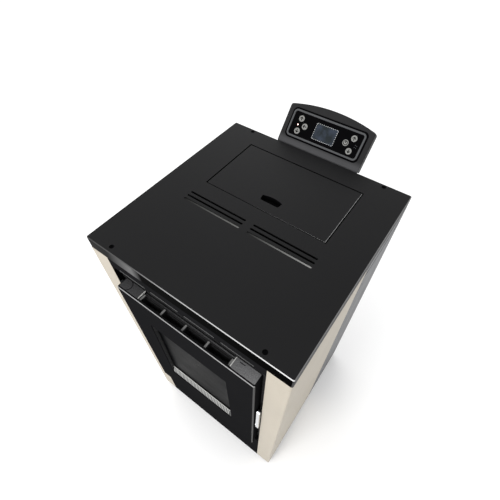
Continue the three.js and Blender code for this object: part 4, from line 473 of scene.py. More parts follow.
def block(name, low, high):
    """A box between two corners in millimetres, to be shaped further."""
    a, b = at(*low), at(*high)
    bpy.ops.mesh.primitive_cube_add(size=1, location=(a + b) / 2)
    bpy.context.object.scale = b - a
    return settle(name)


def drum(name, radius, start, end, sides=64):
    """A cylinder between two points in millimetres, to be shaped further."""
    a, b = at(*start), at(*end)
    turn = (b - a).to_track_quat("Z", "Y").to_euler()
    bpy.ops.mesh.primitive_cylinder_add(vertices=sides, radius=radius * MM, depth=(b - a).length,
                                        location=(a + b) / 2, rotation=turn, end_fill_type="NGON")
    return settle(name)


def turned(name, profile, base, axis, sides=64, open_ends=False):
    """A round piece: the far cap of a cylinder is extruded and resized from step to step of a profile.

    The profile lists a radius and a distance along the axis for each step, in millimetres.
    """
    base = Vector(base)
    line = Vector([float(i == axis) for i in range(3)])
    (r0, d0), (r1, d1) = profile[:2]
    made = drum(name, r0, base + line * d0, base + line * d1, sides)

    def across(ratio):
        return [1.0 if i == axis else ratio for i in range(3)]

    edit(made)
    pick(made, "faces", lambda f: facing(f, axis, 1) and len(f.verts) == sides)
    resized(across(r1 / r0), base + line * d1)
    for (r, d), (rn, dn) in zip(profile[1:], profile[2:]):
        pushed(line * (dn - d) * MM)
        resized(across(rn / r), base + line * dn)
    if open_ends:
        bpy.ops.mesh.select_all(action="DESELECT")
        pick(made, "faces", lambda f: len(f.verts) == sides)
        bpy.ops.mesh.delete(type="FACE")
    close()
    return made


def tube(name, profile, base, axis, sides, wall):
    """A round piece with open ends, given its wall inwards."""
    made = turned(name, profile, base, axis, sides, True)
    return finished_by(made, "SOLIDIFY", thickness=wall * MM, offset=-1)


def finished_by(obj, kind, **settings):
    """Adds a modifier with its settings and applies it."""
    only(obj)
    bpy.ops.object.modifier_add(type=kind)
    modifier = obj.modifiers[-1]
    for name, value in settings.items():
        setattr(modifier, name, value)
    bpy.ops.object.modifier_apply(modifier=modifier.name)
    return obj


def carve(obj, *tools, how="DIFFERENCE"):
    """Cuts, joins or keeps the overlap of an object with other objects, which go away."""
    for tool in tools:
        finished_by(obj, "BOOLEAN", operation=how, solver="EXACT", object=tool)
        bpy.data.objects.remove(tool)
    return obj


def joined(name, *objs):
    """Several meshes as one object."""
    only(*objs)
    bpy.ops.object.join()
    objs[0].name = name
    return objs[0]


def twin(obj, name, shift=(0, 0, 0)):
    """A copy with its own mesh, moved by millimetres."""
    only(obj)
    bpy.ops.object.duplicate()
    made = bpy.context.object
    made.name = name
    made.location = Vector(shift) * MM
    return applied(made)


def row(first, stem, count, pitch):
    """A piece and its copies along X, numbered from 1."""
    return [first] + [twin(first, f"{stem}_{i + 1}", (i * pitch, 0, 0)) for i in range(1, count)]


def repeated(obj, count, step):
    """A piece repeated in its own mesh, a step in millimetres apart."""
    return finished_by(obj, "ARRAY", count=count, use_relative_offset=False, use_constant_offset=True,
                       constant_offset_displace=[part * MM for part in step])


def four(kind, ending, first):
    """A piece of the front left corner and its copies at the others, by the nodes that they stand for."""
    nodes = [f"{kind}_{corner}" for corner in CORNERS]
    home = middle(nodes[0])
    first.name = f"{nodes[0]}_{ending}"
    made = {nodes[0]: first}
    for node in nodes[1:]:
        place = middle(node)
        made[node] = twin(first, f"{node}_{ending}", (place.x - home.x, place.y - home.y, 0))
    return made.items()


def bevelled(obj, radius, steps, test, **settings):
    """Rounds the edges that pass a test."""
    edit(obj, "EDGE")
    pick(obj, "edges", test)
    bpy.ops.mesh.bevel(offset=radius * MM, segments=steps, affect="EDGES", **settings)
    close()
    return obj


def rounded(obj, radius, axis, steps=6, test=None):
    """Rounds the edges that run along an axis."""
    return bevelled(obj, radius, steps, lambda e: runs(e, axis) and (test is None or test(e)))


def merged(obj, gap, flat=0):
    """Joins vertices closer than a gap in millimetres, and faces that meet flatter than some degrees."""
    edit(obj, "VERT")
    bpy.ops.mesh.select_all(action="SELECT")
    bpy.ops.mesh.remove_doubles(threshold=gap * MM)
    if flat:
        bpy.ops.mesh.dissolve_limited(angle_limit=math.radians(flat))
    close()
    return obj


def hollow_below(obj, wall):
    """Opens a box at its lower side and gives the rest its wall, measured inwards."""
    edit(obj)
    pick(obj, "faces", lambda f: facing(f, 2, -1))
    bpy.ops.mesh.delete(type="FACE")
    close()
    return finished_by(obj, "SOLIDIFY", thickness=wall * MM, offset=-1, use_even_offset=True)


def folded(name, path, axis, start, end, inside, radii):
    """A bent sheet: a flat extruded edge by edge along a path, its folds rounded, then given its wall.

    The path is the outer face's section across an axis, X or Z, and inside is a point on the wall's side.
    """
    point = (lambda p, t: at(p[0], p[1], t)) if axis == 2 else (lambda p, t: at(t, p[0], p[1]))
    corner, along, up = point(path[0], start), point(path[1], start), point(path[0], end)
    bpy.ops.mesh.primitive_plane_add(size=1, location=(0, 0, 0))
    flat = bpy.context.object
    u, w = along - corner, up - corner
    turn = Matrix((u.normalized(), w.normalized(), u.cross(w).normalized())).transposed().to_4x4()
    sized = Matrix.Diagonal((u.length, w.length, 1, 1))
    flat.matrix_world = Matrix.Translation(corner + (u + w) / 2) @ turn @ sized
    made = settle(name)
    edit(made, "EDGE")
    for before, after in zip(path[1:], path[2:]):
        low, high = point(before, start), point(before, end)
        bpy.ops.mesh.select_all(action="DESELECT")
        pick(made, "edges", lambda e: all(min((v.co - low).length, (v.co - high).length) < 1e-6
                                          for v in e.verts))
        pushed(point(after, start) - low)
    for fold_at, radius in zip(path[1:-1], radii):
        low, high = point(fold_at, start), point(fold_at, end)
        bpy.ops.mesh.select_all(action="DESELECT")
        pick(made, "edges", lambda e: runs(e, axis) and (e.verts[0].co - low).cross(high - low).length < 1e-9)
        bpy.ops.mesh.bevel(offset=radius * MM, segments=5, affect="EDGES")
    close()
    face = made.data.polygons[0]
    inwards = (at(*inside) - face.center).dot(face.normal) > 0
    return finished_by(made, "SOLIDIFY", thickness=FOLDED_SHEET * MM, offset=1 if inwards else -1,
                       use_even_offset=True)


def eased(obj, width, steps, angle):
    """Breaks the sharp edges as paint and handling do, and shades the flats flat."""
    if width:
        finished_by(obj, "BEVEL", width=width * MM, segments=steps, limit_method="ANGLE",
                    angle_limit=math.radians(angle), use_clamp_overlap=True)
    only(obj)
    bpy.ops.object.shade_smooth_by_angle(angle=math.radians(32))
    return finished_by(obj, "WEIGHTED_NORMAL", keep_sharp=True)


def coated(obj, material):
    """Gives an object one material all over."""
    obj.data.materials.clear()
    obj.data.materials.append(MATERIALS[material])
    for face in obj.data.polygons:
        face.material_index = 0


def fold(face):
    """True for a face of a rounded fold, which looks along no axis."""
    return max(abs(part) for part in face.normal) < 0.985


def slanted(face):
    """True for a face of a fold that looks up on a slant."""
    return fold(face) and 0.35 < face.normal.z < 0.93


def faced(obj, material, test):
    """Gives the faces that pass a test, which gets each face and its middle, a material of their own."""
    obj.data.materials.append(MATERIALS[material])
    for face in obj.data.polygons:
        if test(face, where(face.center)):
            face.material_index = len(obj.data.materials) - 1


def piece(obj, body, material, width=0.4, steps=2, nodes=(), angle=35):
    """Finishes a piece: its edges, material, body, and the nodes that it stands for."""
    eased(obj, width, steps, angle)
    coated(obj, material)
    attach(obj, body)
    if nodes:
        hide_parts(*nodes)
    return obj


def refined(node, body, material, width=0.5, steps=2, angle=35):
    """A node's own shape with its flats merged and its sharp edges broken."""
    made = bpy.data.objects.new(f"{node}_eased", frame["nodes"][node].data.copy())
    bpy.context.scene.collection.objects.link(made)
    return piece(merged(made, 0.002, 0.5), body, material, width, steps, (node,), angle)


def body_of(node):
    """The body that a node belongs to."""
    bodies = frame["record"]["behaviour"]["bodies"]
    return next(name for name, nodes in bodies.items() if node in nodes)


# ---------- Sizes and colours a user may change ----------

def length(name, description, millimetres):
    """A length property in metres."""
    return bpy.props.FloatProperty(name=name, description=description, default=millimetres * MM,
                                   subtype="DISTANCE", unit="LENGTH")


def shade(name, description, code):
    """A colour property, whose default is given as an sRGB hex code."""
    return bpy.props.FloatVectorProperty(name=name, description=description, default=linear(code), size=4,
                                         subtype="COLOR", min=0, max=1)


class STOVE_PG_sizes(bpy.types.PropertyGroup):
    """Sizes of the dressed pieces that the frame leaves open."""
    sheet: length("Sheet", "Thickness of the sheet of the top, the lid and the door", 2.0)
    top_edge: length("Top edge", "Outer radius of the folded edge of the top cover", 2.2)
    corner: length("Corner", "Radius of the casing's upright corners", 4.0)
    door_edge: length("Door edge", "Radius of the door's upright edges", 4.0)
    door_roll: length("Door roll", "Radius of the rolled edge along the door's top", 2.4)
    recess_depth: length("Recess depth", "Depth of the lid's finger recess", 14.0)
    sill_pitch: length("Sill pitch", "Distance between the ribs of the window sill", 5.5)
    key_radius: length("Key radius", "Radius of the keys of the control panel", 7.5)
    camera_height: length("Camera height", "Height of the camera over the floor", 1485.1)


class STOVE_PG_colours(bpy.types.PropertyGroup):
    """Colours of the finishes."""
    black_coat: shade("Black coat", "Powder coat of the top, the lid and the door", "#131314")
    cream_coat: shade("Cream coat", "Powder coat of the front corners", "#aaa294")
    zinc: shade("Zinc", "Galvanised sheet of the rear casing", "#4e4f52")
    iron: shade("Iron", "Heat-proof paint of the door casting and the firebox", "#232324")
    housing: shade("Housing", "Housing of the control panel", "#1c1c1d")
    ring: shade("Ring", "Raised ring round the fascia", "#4b4c4e")
    print_ink: shade("Print", "Print on the keys", "#82827f")


def size(name):
    """A size from the panel, in millimetres."""
    return getattr(bpy.context.scene.stove_sizes, name) / MM


# ---------- Measures of the drawing that the boxes of the frame don't give, in millimetres ----------

FOLDED_SHEET = 2
CASING_HALF = 250
CASING_FLANGE = 12
STRIP_EDGE = 200  # from the middle to the painted strip beside the door
TOP_SLOT_FRONT = 203.3
TOP_SLOT_PITCH = 12
TOP_SLOT_LENGTH = 154
TOP_SLOT_WIDTH = 5
TOP_SLOT_INNER = 10  # from the middle to the inner end of a slot
LID_GAP = 3
LID_FRONT_GAP = 2
RECESS_FRONT = 299.3
RECESS_HALF_WIDTH = 27
RECESS_BACK = 319
RECESS_BULGE = 5.5  # how far its curved back stands out
SIDE_VENT = (853.7, 863.7)  # its lower and upper rim
BACK_SCREW_INSET = 8
BACK_SCREW_DROP = 12
BACK_SCREW_HEIGHTS = (40, 245, 450, 655)
FRONT_SLOT_PITCH = 90.5
FRONT_SLOT_LENGTH = 77
FRONT_SLOT_HEIGHT = 5
FRONT_SLOT_RISE = 2.5
DOOR_BACK = 13
DOOR_MARGIN = 17  # from the skin's edge to the casting
HANDLE_SHAFT = (-3.5, 12)  # its depth, and its height over the handle's lower end
WINDOW_TOP_DROP = 103
VENT_HALF_WIDTH = 125
VENT_FRONT = 6
VENT_BACK = 12.6
POCKET_PITCH = 60.75
POCKET_WIDTH = 53.75
CORNERS = ("front_left", "front_right", "rear_left", "rear_right")


# ---------- Casing ----------

def slot_tool(x0, x1, y0, y1, z0, z1):
    """A cutter for a slot with round ends, which runs along X through a level sheet."""
    return rounded(block("tool", (x0, y0, z0), (x1, y1, z1)), (y1 - y0) / 2 * 0.98, 2)


class STOVE_OT_top_cover(bpy.types.Operator):
    """Folded steel top with its lid opening, two groups of air slots and four screw dimples"""
    bl_idname = "stove.top_cover"
    bl_label = "Top Cover"

    def openings(self, cover, top):
        """Cuts the lid opening, the air slots and the screw dimples."""
        low, high = span("hopper_lid")
        carve(cover, block("tool", (low.x - LID_GAP, low.y - LID_FRONT_GAP, top - 8),
                           (high.x + LID_GAP, high.y + LID_GAP, top + 1)))
        half = TOP_SLOT_WIDTH / 2
        for row_number in range(3):
            y = TOP_SLOT_FRONT + TOP_SLOT_PITCH * row_number
            for x in (-TOP_SLOT_INNER - TOP_SLOT_LENGTH, TOP_SLOT_INNER):
                carve(cover, slot_tool(x, x + TOP_SLOT_LENGTH, y - half, y + half, top - 6, top + 1))
        for corner in CORNERS:
            centre = middle(f"top_screw_{corner}")
            dimple = [(4.4, -6), (4.4, -0.9), (4.8, -0.35), (5.2, 0.0), (5.2, 1)]
            carve(cover, turned("tool", dimple, (centre.x, centre.y, top), 2, 40))

    def finish(self, cover, high):
        """Paints highlights on the folds, paints the front fold dark with a painted sheen, and paints shade
        in the dimples and on the walls of the lid opening.
        """
        rim = size("top_edge") + 0.5
        centres = [middle(f"top_screw_{corner}") for corner in CORNERS]
        lid_low, lid_high = span("hopper_lid")

        def highlight_fold(face, place):
            return fold(face) and place.z > high.z - rim

        def dimple(face, place):
            return place.z < high.z - 0.1 and any((place - centre).xy.length < 5.9 for centre in centres)

        def gap(face, place):
            upright = max(abs(face.normal.x), abs(face.normal.y)) > 0.9 and place.z < high.z - 0.4
            return upright and abs(place.x) < lid_high.x + 8 and lid_low.y - 8 < place.y < lid_high.y + 8

        # Painted highlight along the right side fold.
        faced(cover, "side_edge", lambda f, p: highlight_fold(f, p) and p.x > high.x - rim)
        # Painted highlight along the front top fold.
        faced(cover, "black_edge", lambda f, p: highlight_fold(f, p) and slanted(f) and p.y < rim)
        # Painted shade over the front fold, with a painted sheen at its left.
        faced(cover, "black_fold", lambda f, p: facing(f, 1, -1) and p.y < 1)
        # Painted shade in the screw dimples and on the walls of the lid opening.
        faced(cover, "black_oxide", dimple)
        faced(cover, "black_oxide", gap)

    def light_strips_under_slots(self, under):
        """Strips close under the front row of slots show through it, painted dark to light along each group:
        painted light seen inside the slots.
        """
        reach = TOP_SLOT_INNER + TOP_SLOT_LENGTH + 3
        for name, x0, x1 in (("left", -reach, -TOP_SLOT_INNER + 3), ("right", TOP_SLOT_INNER - 3, reach)):
            felt = block(f"slot_felt_{name}", (x0, TOP_SLOT_FRONT - 4, under - 1.5),
                         (x1, TOP_SLOT_FRONT + 4.5, under - 0.2))
            piece(felt, "cabinet", "felt")

    def execute(self, context):
        low, high = span("top_cover")
        cover = rounded(block("top_cover_folded", low, high), size("corner"), 2)
        bevelled(cover, size("top_edge"), 5, lambda e: level(e, high.z))
        hollow_below(cover, size("sheet"))
        self.openings(cover, high.z)
        piece(cover, "cabinet", "black_coat", 0.35, 2, ("top_cover",))
        self.finish(cover, high)
        self.light_strips_under_slots(high.z - size("sheet"))
        return {"FINISHED"}


class STOVE_OT_hopper_lid(bpy.types.Operator):
    """Flat lid of the pellet hopper with a pressed finger recess and two hinge knuckles"""
    bl_idname = "stove.hopper_lid"
    bl_label = "Hopper Lid"

    def recess(self, grow, top, depth):
        """A cup for the fingertips: a straight front edge, sides that open backwards, and a curved back."""
        wide, front, back = RECESS_HALF_WIDTH + grow, RECESS_FRONT - grow, RECESS_BACK + grow
        cup = block("tool", (-wide, front, top - depth), (wide, back, top))
        edit(cup)
        pick(cup, "faces", lambda f: facing(f, 1, -1))
        resized((0.86, 1, 1), (0, front, top))
        close()
        radius = (wide ** 2 + RECESS_BULGE ** 2) / (2 * RECESS_BULGE)
        arc = drum("arc", radius, (0, back - radius, top - depth - 1), (0, back - radius, top + 1), 512)
        merged(carve(cup, arc, how="INTERSECT"), 0.4)
        return rounded(cup, 2.5 + grow, 2, 4, lambda e: start_of(e).y < front + 0.1)

    def knuckles(self, top):
        """Two rolled knuckles with their webs, under the lid's rear edge."""
        pin, start, wide, radius = middle("lid_hinge_pin"), span("lid_hinge_pin")[1].x - 26, 14, 5.3
        knuckle = tube("knuckle", [(radius, 0), (radius, wide)], (start, pin.y, pin.z), 0, 40, 2.4)
        web = block("web", (start, pin.y - radius, pin.z), (start + wide, pin.y - radius + 2, top - 1.5))
        right = joined("lid_knuckle_right", knuckle, web)
        for side in (twin(right, "lid_knuckle_left", (-2 * start - wide, 0, 0)), right):
            piece(side, "lid", "black_coat", 0.3)

    def execute(self, context):
        low, high = span("hopper_lid")
        top, depth = high.z, size("recess_depth")
        lid = block("hopper_lid_pressed", (low.x, low.y, top - 8), (high.x, high.y, top))
        hollow_below(lid, size("sheet"))
        carve(lid, block("tool", (low.x - 5, high.y - 16, top - 12), (high.x + 5, high.y + 5, top - 2)))
        carve(lid, self.recess(2, top - 1, depth + 1), how="UNION")
        carve(lid, self.recess(0, top + 1, depth + 1))
        piece(lid, "lid", "black_coat", 0.7, 3, ("hopper_lid",))
        # Painted highlights on the lid's right and front edges.
        faced(lid, "lid_edge", lambda f, p: fold(f) and p.z > top - 2
              and (p.x > high.x - 2 or p.y < low.y + 2))
        # Painted shade in the finger recess.
        faced(lid, "black_oxide", lambda f, p: abs(p.x) < RECESS_HALF_WIDTH + 1 and p.z < top - 0.9
              and p.y > low.y + 5)
        self.knuckles(top)
        return {"FINISHED"}


class STOVE_OT_top_screws(bpy.types.Operator):
    """Black socket head screws, sunk in the dimples of the top cover"""
    bl_idname = "stove.top_screws"
    bl_label = "Top Screws"

    def execute(self, context):
        node = f"top_screw_{CORNERS[0]}"
        low, high = span(node)
        x, y, head = middle(node).x, middle(node).y, high.z - 1.5
        screw = turned("screw", [(2, low.z), (2, head - 1.5), (4, head - 1.5), (4, head)], (x, y, 0), 2, 40)
        carve(screw, drum("tool", 2.1, (x, y, head - 1), (x, y, head + 1), 6))
        for node, made in four("top_screw", "socket", screw):
            piece(made, "cabinet", "black_oxide", 0.15, 2, (node,))
        return {"FINISHED"}


class STOVE_OT_painted_sides(bpy.types.Operator):
    """Cream front corners: one bent sheet each, from the door round the corner to the side"""
    bl_idname = "stove.painted_sides"
    bl_label = "Painted Sides"

    def execute(self, context):
        for name, side in (("left", -1), ("right", 1)):
            node = f"side_panel_front_{name}"
            low, high = span(node)
            edge, out = side * STRIP_EDGE, side * CASING_HALF
            path = [(edge, 13.7), (edge, 0), (out, 0), (out, high.y), (out - side * CASING_FLANGE, high.y)]
            panel = folded(f"{node}_bent", path, 2, low.z, high.z, (side * 225, 100, 400),
                           (1.2, size("corner"), 1.2))
            piece(panel, "cabinet", "cream_coat", 0.4, 2, (node,), 50)
            # The return beside the door is painted near black, painted shade beside the door.
            faced(panel, "groove", lambda f, p: abs(p.x) < STRIP_EDGE + 2.2 and p.y > 1.3)
        return {"FINISHED"}


class STOVE_OT_rear_casing(bpy.types.Operator):
    """Galvanised sides, back and floor tray of the casing, with their screws"""
    bl_idname = "stove.rear_casing"
    bl_label = "Rear Casing"

    def screws(self):
        """One pan head screw with a cross recess, copied round the back panel."""
        profile = [(2, -3), (2, 0), (4, 0), (3.9, 1.1), (3.1, 1.9), (1.2, 2.3)]
        head = turned("screw", profile, (0, 0, 0), 1, 32)
        for x, z in ((0.5, 2.2), (2.2, 0.5)):
            carve(head, block("tool", (-x, 1.2, -z), (x, 3, z)))
        low, high = span("back_panel")
        top = high.z - BACK_SCREW_DROP
        places = [(x, z) for x in (low.x + BACK_SCREW_INSET, high.x - BACK_SCREW_INSET)
                  for z in (*BACK_SCREW_HEIGHTS, top)]
        for i, (x, z) in enumerate([*places, (-90, top), (90, top)]):
            piece(twin(head, f"back_screw_{i + 1}", (x, high.y, z)), "cabinet", "steel_x", 0.12, 1)
        bpy.data.objects.remove(head)

    def execute(self, context):
        for name, side in (("left", -1), ("right", 1)):
            node = f"side_panel_rear_{name}"
            low, high = span(node)
            out, front = side * CASING_HALF, low.y + 1.2
            inner = out - side * CASING_FLANGE
            panel = folded(f"{node}_bent", [(inner, front), (out, front), (out, high.y), (inner, high.y)], 2,
                           low.z, high.z, (side * 225, 400, 400), (1.2, 1.2))
            x0, x1 = sorted((out + side * 5, out - side * 5))
            vent = block("tool", (x0, low.y + 10, SIDE_VENT[0]), (x1, high.y - 10, SIDE_VENT[1]))
            carve(panel, rounded(vent, 4.5, 0, 5))
            piece(panel, "cabinet", "zinc_sheet", 0.3, 2, (node,), 50)
        for node in ("back_panel", "base_plate"):
            refined(node, "cabinet", "zinc_sheet", 0.4)
        self.screws()
        return {"FINISHED"}


class STOVE_OT_fronts(bpy.types.Operator):
    """Slotted strip above the door and the plain panel below it"""
    bl_idname = "stove.fronts"
    bl_label = "Fronts"

    def execute(self, context):
        low, high = span("upper_front_panel")
        path = [(high.y, low.z), (low.y, low.z), (low.y, high.z), (high.y, high.z)]
        strip = folded("upper_front_strip", path, 0, low.x, high.x, (0, 8, (low.z + high.z) / 2), (1.4, 1.4))
        reach, rim = FRONT_SLOT_LENGTH / 2, low.z + FRONT_SLOT_RISE
        for i in range(4):
            x = (i - 1.5) * FRONT_SLOT_PITCH
            tool = block("tool", (x - reach, low.y - 2, rim), (x + reach, low.y + 4, rim + FRONT_SLOT_HEIGHT))
            carve(strip, rounded(tool, FRONT_SLOT_HEIGHT / 2 - 0.1, 1, 5))
        piece(strip, "cabinet", "front_coat", 0.5, 2, ("upper_front_panel",), 50)
        # Painted highlights on the lower rims of the slots.
        faced(strip, "side_edge", lambda f, p: f.normal.z > 0.5 and abs(p.z - rim) < 0.6)
        low, high = span("lower_front_panel")
        path = [(low.y, low.z), (low.y, high.z), (high.y, high.z)]
        panel = folded("lower_front_sheet", path, 0, low.x, high.x, (0, 8, 100), (1.6,))
        piece(panel, "cabinet", "front_coat", 0.4, 2, ("lower_front_panel",), 50)
        return {"FINISHED"}


class STOVE_OT_feet(bpy.types.Operator):
    """Four adjustable rubber feet on short stems"""
    bl_idname = "stove.feet"
    bl_label = "Feet"

    def execute(self, context):
        node = f"foot_{CORNERS[0]}"
        place, top = middle(node), span(node)[1].z
        profile = [(20.5, 0), (22, 1.2), (22, 4.2), (21, 5.2), (14, 7.2), (13, 8), (6, 8), (6, top)]
        for node, made in four("foot", "pad", turned("foot", profile, (place.x, place.y, 0), 2, 56)):
            piece(made, "cabinet", "black_rubber", 0.3, 2, (node,))
        return {"FINISHED"}


# ---------- Door ----------

class STOVE_OT_door_skin(bpy.types.Operator):
    """Pressed steel door skin with a rolled top edge, a window opening and a cut-out for warm air"""
    bl_idname = "stove.door_skin"
    bl_label = "Door Skin"

    def shell(self, half, face, back, bottom, top):
        """A box with round front edges, hollowed from the back to its wall."""
        skin = block("door_skin_pressed", (-half, face, bottom), (half, back, top))
        rounded(skin, size("door_edge"), 2, 7, lambda e: start_of(e).y < face + 1)
        bevelled(skin, size("door_roll"), 5,
                 lambda e: not runs(e, 2) and any(where(v.co).y < back - 1 for v in e.verts))
        wall = size("sheet")
        inner = block("tool", (-half + wall, face + wall, bottom + wall), (half - wall, back + 3, top - wall))
        rounded(inner, size("door_edge") - wall, 2, 5, lambda e: start_of(e).y < face + 3)
        return carve(skin, inner)

    def knuckles(self, top, bottom):
        """Two knuckles with their leaves, at the door's left edge."""
        x, y = middle("door_hinge_pin_upper").xy
        upper = tube("hinge", [(5, top - 30), (5, top - 8)], (x, y, 0), 2, 40, 1.6)
        leaf = block("leaf", (x + 4.5, y - 1, top - 30), (x + 9, y + 1, top - 8))
        upper = joined("door_knuckle_upper", upper, leaf)
        for knuckle in (upper, twin(upper, "door_knuckle_lower", (0, 0, bottom - top + 38))):
            piece(knuckle, "door", "black_oxide", 0.3)

    def execute(self, context):
        skin_low, skin_high = span("door_skin")
        top, bottom, face = skin_high.z, skin_low.z, skin_low.y
        half, roll = span("door_casting")[1].x + DOOR_MARGIN, size("door_roll") + 0.4
        sill, vent = span("window_sill"), face + VENT_FRONT
        window, y, pivot = sill[1].x + 0.3, HANDLE_SHAFT[0], span("door_handle")[0].z + HANDLE_SHAFT[1]
        skin = self.shell(half, face, DOOR_BACK, bottom, top)
        for low, high in (
            ((-window, face - 2, sill[0].z - 0.3), (window, face + 5, top - WINDOW_TOP_DROP)),
            ((-VENT_HALF_WIDTH, vent, top - 4), (VENT_HALF_WIDTH, 15, top + 2)),
            ((-half + 7, face + 3, top - 1.4), (half - 7, face + 4.4, top + 2)),
        ):
            carve(skin, block("tool", low, high))
        carve(skin, drum("tool", 4.4, (half - 4, y, pivot), (half + 2, y, pivot), 40))
        piece(skin, "door", "front_coat", 0.35, 2, ("door_skin",), 50)
        # Painted highlight along the door's rolled top edge.
        faced(skin, "slot_edge", lambda f, p: slanted(f) and p.z > top - roll and p.y < face + roll)
        # Painted highlight down the door's right upright edge.
        faced(skin, "door_edge", lambda f, p: fold(f) and p.x > half - 4.5 and p.z < top - roll)
        self.knuckles(top, bottom)
        return {"FINISHED"}


class STOVE_OT_door_top(bpy.types.Operator):
    """Cast door frame with its four air pockets, between the bare cut edges of the skin"""
    bl_idname = "stove.door_top"
    bl_label = "Door Casting"

    def mark(self, x, top):
        """A cutter for a thin pressed arc."""
        arc = drum("tool", 13.6, (x, 0, top - 1.5), (x, 0, top + 1), 64)
        carve(arc, drum("tool", 11.6, (x, 0, top - 2), (x, 0, top + 2), 64))
        return carve(arc, block("tool", (x - 20, -16, top - 2), (x + 2, 16, top + 2)))

    def flanges(self, front, top):
        """The flange shows its textured coat on both sides of the cut-out."""
        for name, x0, x1 in (("left", -184, -127.2), ("right", 127.2, 184)):
            patch = block(f"flange_patch_{name}", (x0, front - 1.2, top - 0.8),
                          (x1, VENT_BACK - 0.2, top + 0.3))
            rounded(patch, 2, 2, 4)
            carve(patch, self.mark(x0 + 14, top) if name == "left" else
                  slot_tool(136, 150, 7.0, 8.8, top - 1.5, top + 1))
            piece(patch, "door", "door_coat", 0.15)

    def pockets(self, front, top):
        """A folded ledge behind the pockets, a low step in the rear of each, and ribs ground bare on top."""
        ledge = block("door_rear_ledge", (-124.3, 8.6, top - 16), (124.3, VENT_BACK, top - 5.4))
        step = block("pocket_step_1", (-117.9, 3.4, top - 30), (-117.9 + POCKET_WIDTH - 0.2, 5.9, top - 12))
        for made, rear in ((ledge, 12), (step, 3.5)):
            crest = max(where(v.co).z for v in made.data.vertices)
            bevelled(made, 2, 3, lambda e: all(where(v.co).z > crest - 0.1 and abs(where(v.co).y - rear) < 0.7
                                               for v in e.verts))
        piece(ledge, "door", "door_coat", 0.3)
        for made in row(step, "pocket_step", 4, POCKET_PITCH):
            piece(made, "door", "black_iron", 0.3)
        cap = block("rib_cap_1", (-123.6, front + 0.3, top - 4.2), (-119.2, 5.9, top - 3.2))
        for made in row(cap, "rib_cap", 5, POCKET_PITCH):
            piece(made, "door", "rib_iron", 0.3)

    def execute(self, context):
        refined("door_casting", "door", "black_iron", 0.8, 3)
        low, high = span("door_skin")
        top, front = high.z, low.y + VENT_FRONT
        first = block("vent_edge_left", (-126.8, front, top - 2.8), (-124.6, VENT_BACK, top + 0.6))
        for edge in (first, twin(first, "vent_edge_right", (251.4, 0, 0))):
            piece(edge, "door", "cut_edge", 0.35)
        self.flanges(front, top)
        self.pockets(front, top)
        return {"FINISHED"}


class STOVE_OT_window(bpy.types.Operator):
    """Smoked glass with its retainer, the ribbed sill below it and the rope seal behind"""
    bl_idname = "stove.window"
    bl_label = "Window"

    def execute(self, context):
        refined("door_glass", "door", "door_glass", 0.8, 3)
        refined("glass_retainer", "door", "steel_x", 0.4)
        # The sill is painted near black between its ribs, painted shade.
        refined("window_sill", "door", "sill_base", 0.3)
        refined("door_rope_seal", "door", "glass_rope", 1.6, 4)
        low, high = span("window_sill")
        pitch, foot = size("sill_pitch"), low.z + 5
        rise, run = high.z - foot, high.y - low.y
        rib = block("sill_ribs", (-1.3, -0.7, 1), (1.3, 0.5, math.hypot(rise, run) - 1))
        rounded(rib, 0.4, 2, 3)
        turn = Matrix.Rotation(-math.atan2(run, rise), 4, "X")
        applied(rib, Matrix.Translation(at(low.x + 4, low.y, foot)) @ turn @ Matrix.Translation(-FRONT))
        repeated(rib, int((high.x - low.x - 6) / pitch), (pitch, 0, 0))
        piece(rib, "door", "sill_rib", 0)
        rail = block("sill_rail", (low.x + 0.3, high.y - 1.6, high.z - 1.4),
                     (high.x - 0.3, high.y - 0.2, high.z + 1.2))
        piece(rail, "door", "cut_edge")
        return {"FINISHED"}


class STOVE_OT_door_handle(bpy.types.Operator):
    """Chrome lever beside the door's edge, with its shaft and latch cam"""
    bl_idname = "stove.door_handle"
    bl_label = "Door Handle"

    def execute(self, context):
        refined("door_handle", "handle", "chrome", 2.4, 5, 60)
        return {"FINISHED"}



# ---------- Control panel, drawn flat: U to the right, V up along the slope, N out of its face ----------

PANEL_SLOPE = 51.2  # degrees
PANEL_HALF = 114.5
PANEL_TOP = 111
PANEL_ARCH = 15  # rise of its curved upper edge
PLATE_MIDDLE = 54.5  # along V, of the fascia and all that goes round it
PLATE_DIFFERENCE = 64.5  # between their half width and half height
KEY_PLACES = [(side * u, v) for side in (-1, 1) for u, v in ((72.2, 69.1), (56.6, 53.5), (72.2, 37.9))]
KEY_HOLE_RADIUS = 7.8
SCREEN_LOW = (-29.5, 33.5)
SCREEN_HIGH = (29.5, 73.5)
MARKS_ALONG_U = (11, -28.6, 28.6, (34.4, 72.6))  # how many, from, to, and the two lines that they lie on
MARKS_ALONG_V = (8, 34.4, 72.6, (-28.6, 28.6))
LIT_PLACE = (-76.5, 52.7, 0)
UNLIT_PLACES = ((81.6, 56), (85.4, 55), (81.2, 50.8), (85.0, 49.6))


def leaned(obj):
    """Moves a piece drawn flat at the drawing's origin to its place behind the top."""
    high = span("top_cover")[1]
    turn = Matrix.Rotation(math.radians(PANEL_SLOPE), 4, "X")
    return applied(obj, Matrix.Translation(at(0, high.y, high.z)) @ turn @ Matrix.Translation(-FRONT))


def plate(name, half, n0, n1, radius, steps=8):
    """A plate with round corners round the fascia's middle, given by its half width."""
    reach = half - PLATE_DIFFERENCE
    made = block(name, (-half, PLATE_MIDDLE - reach, n0), (half, PLATE_MIDDLE + reach, n1))
    return rounded(made, radius, 2, steps)


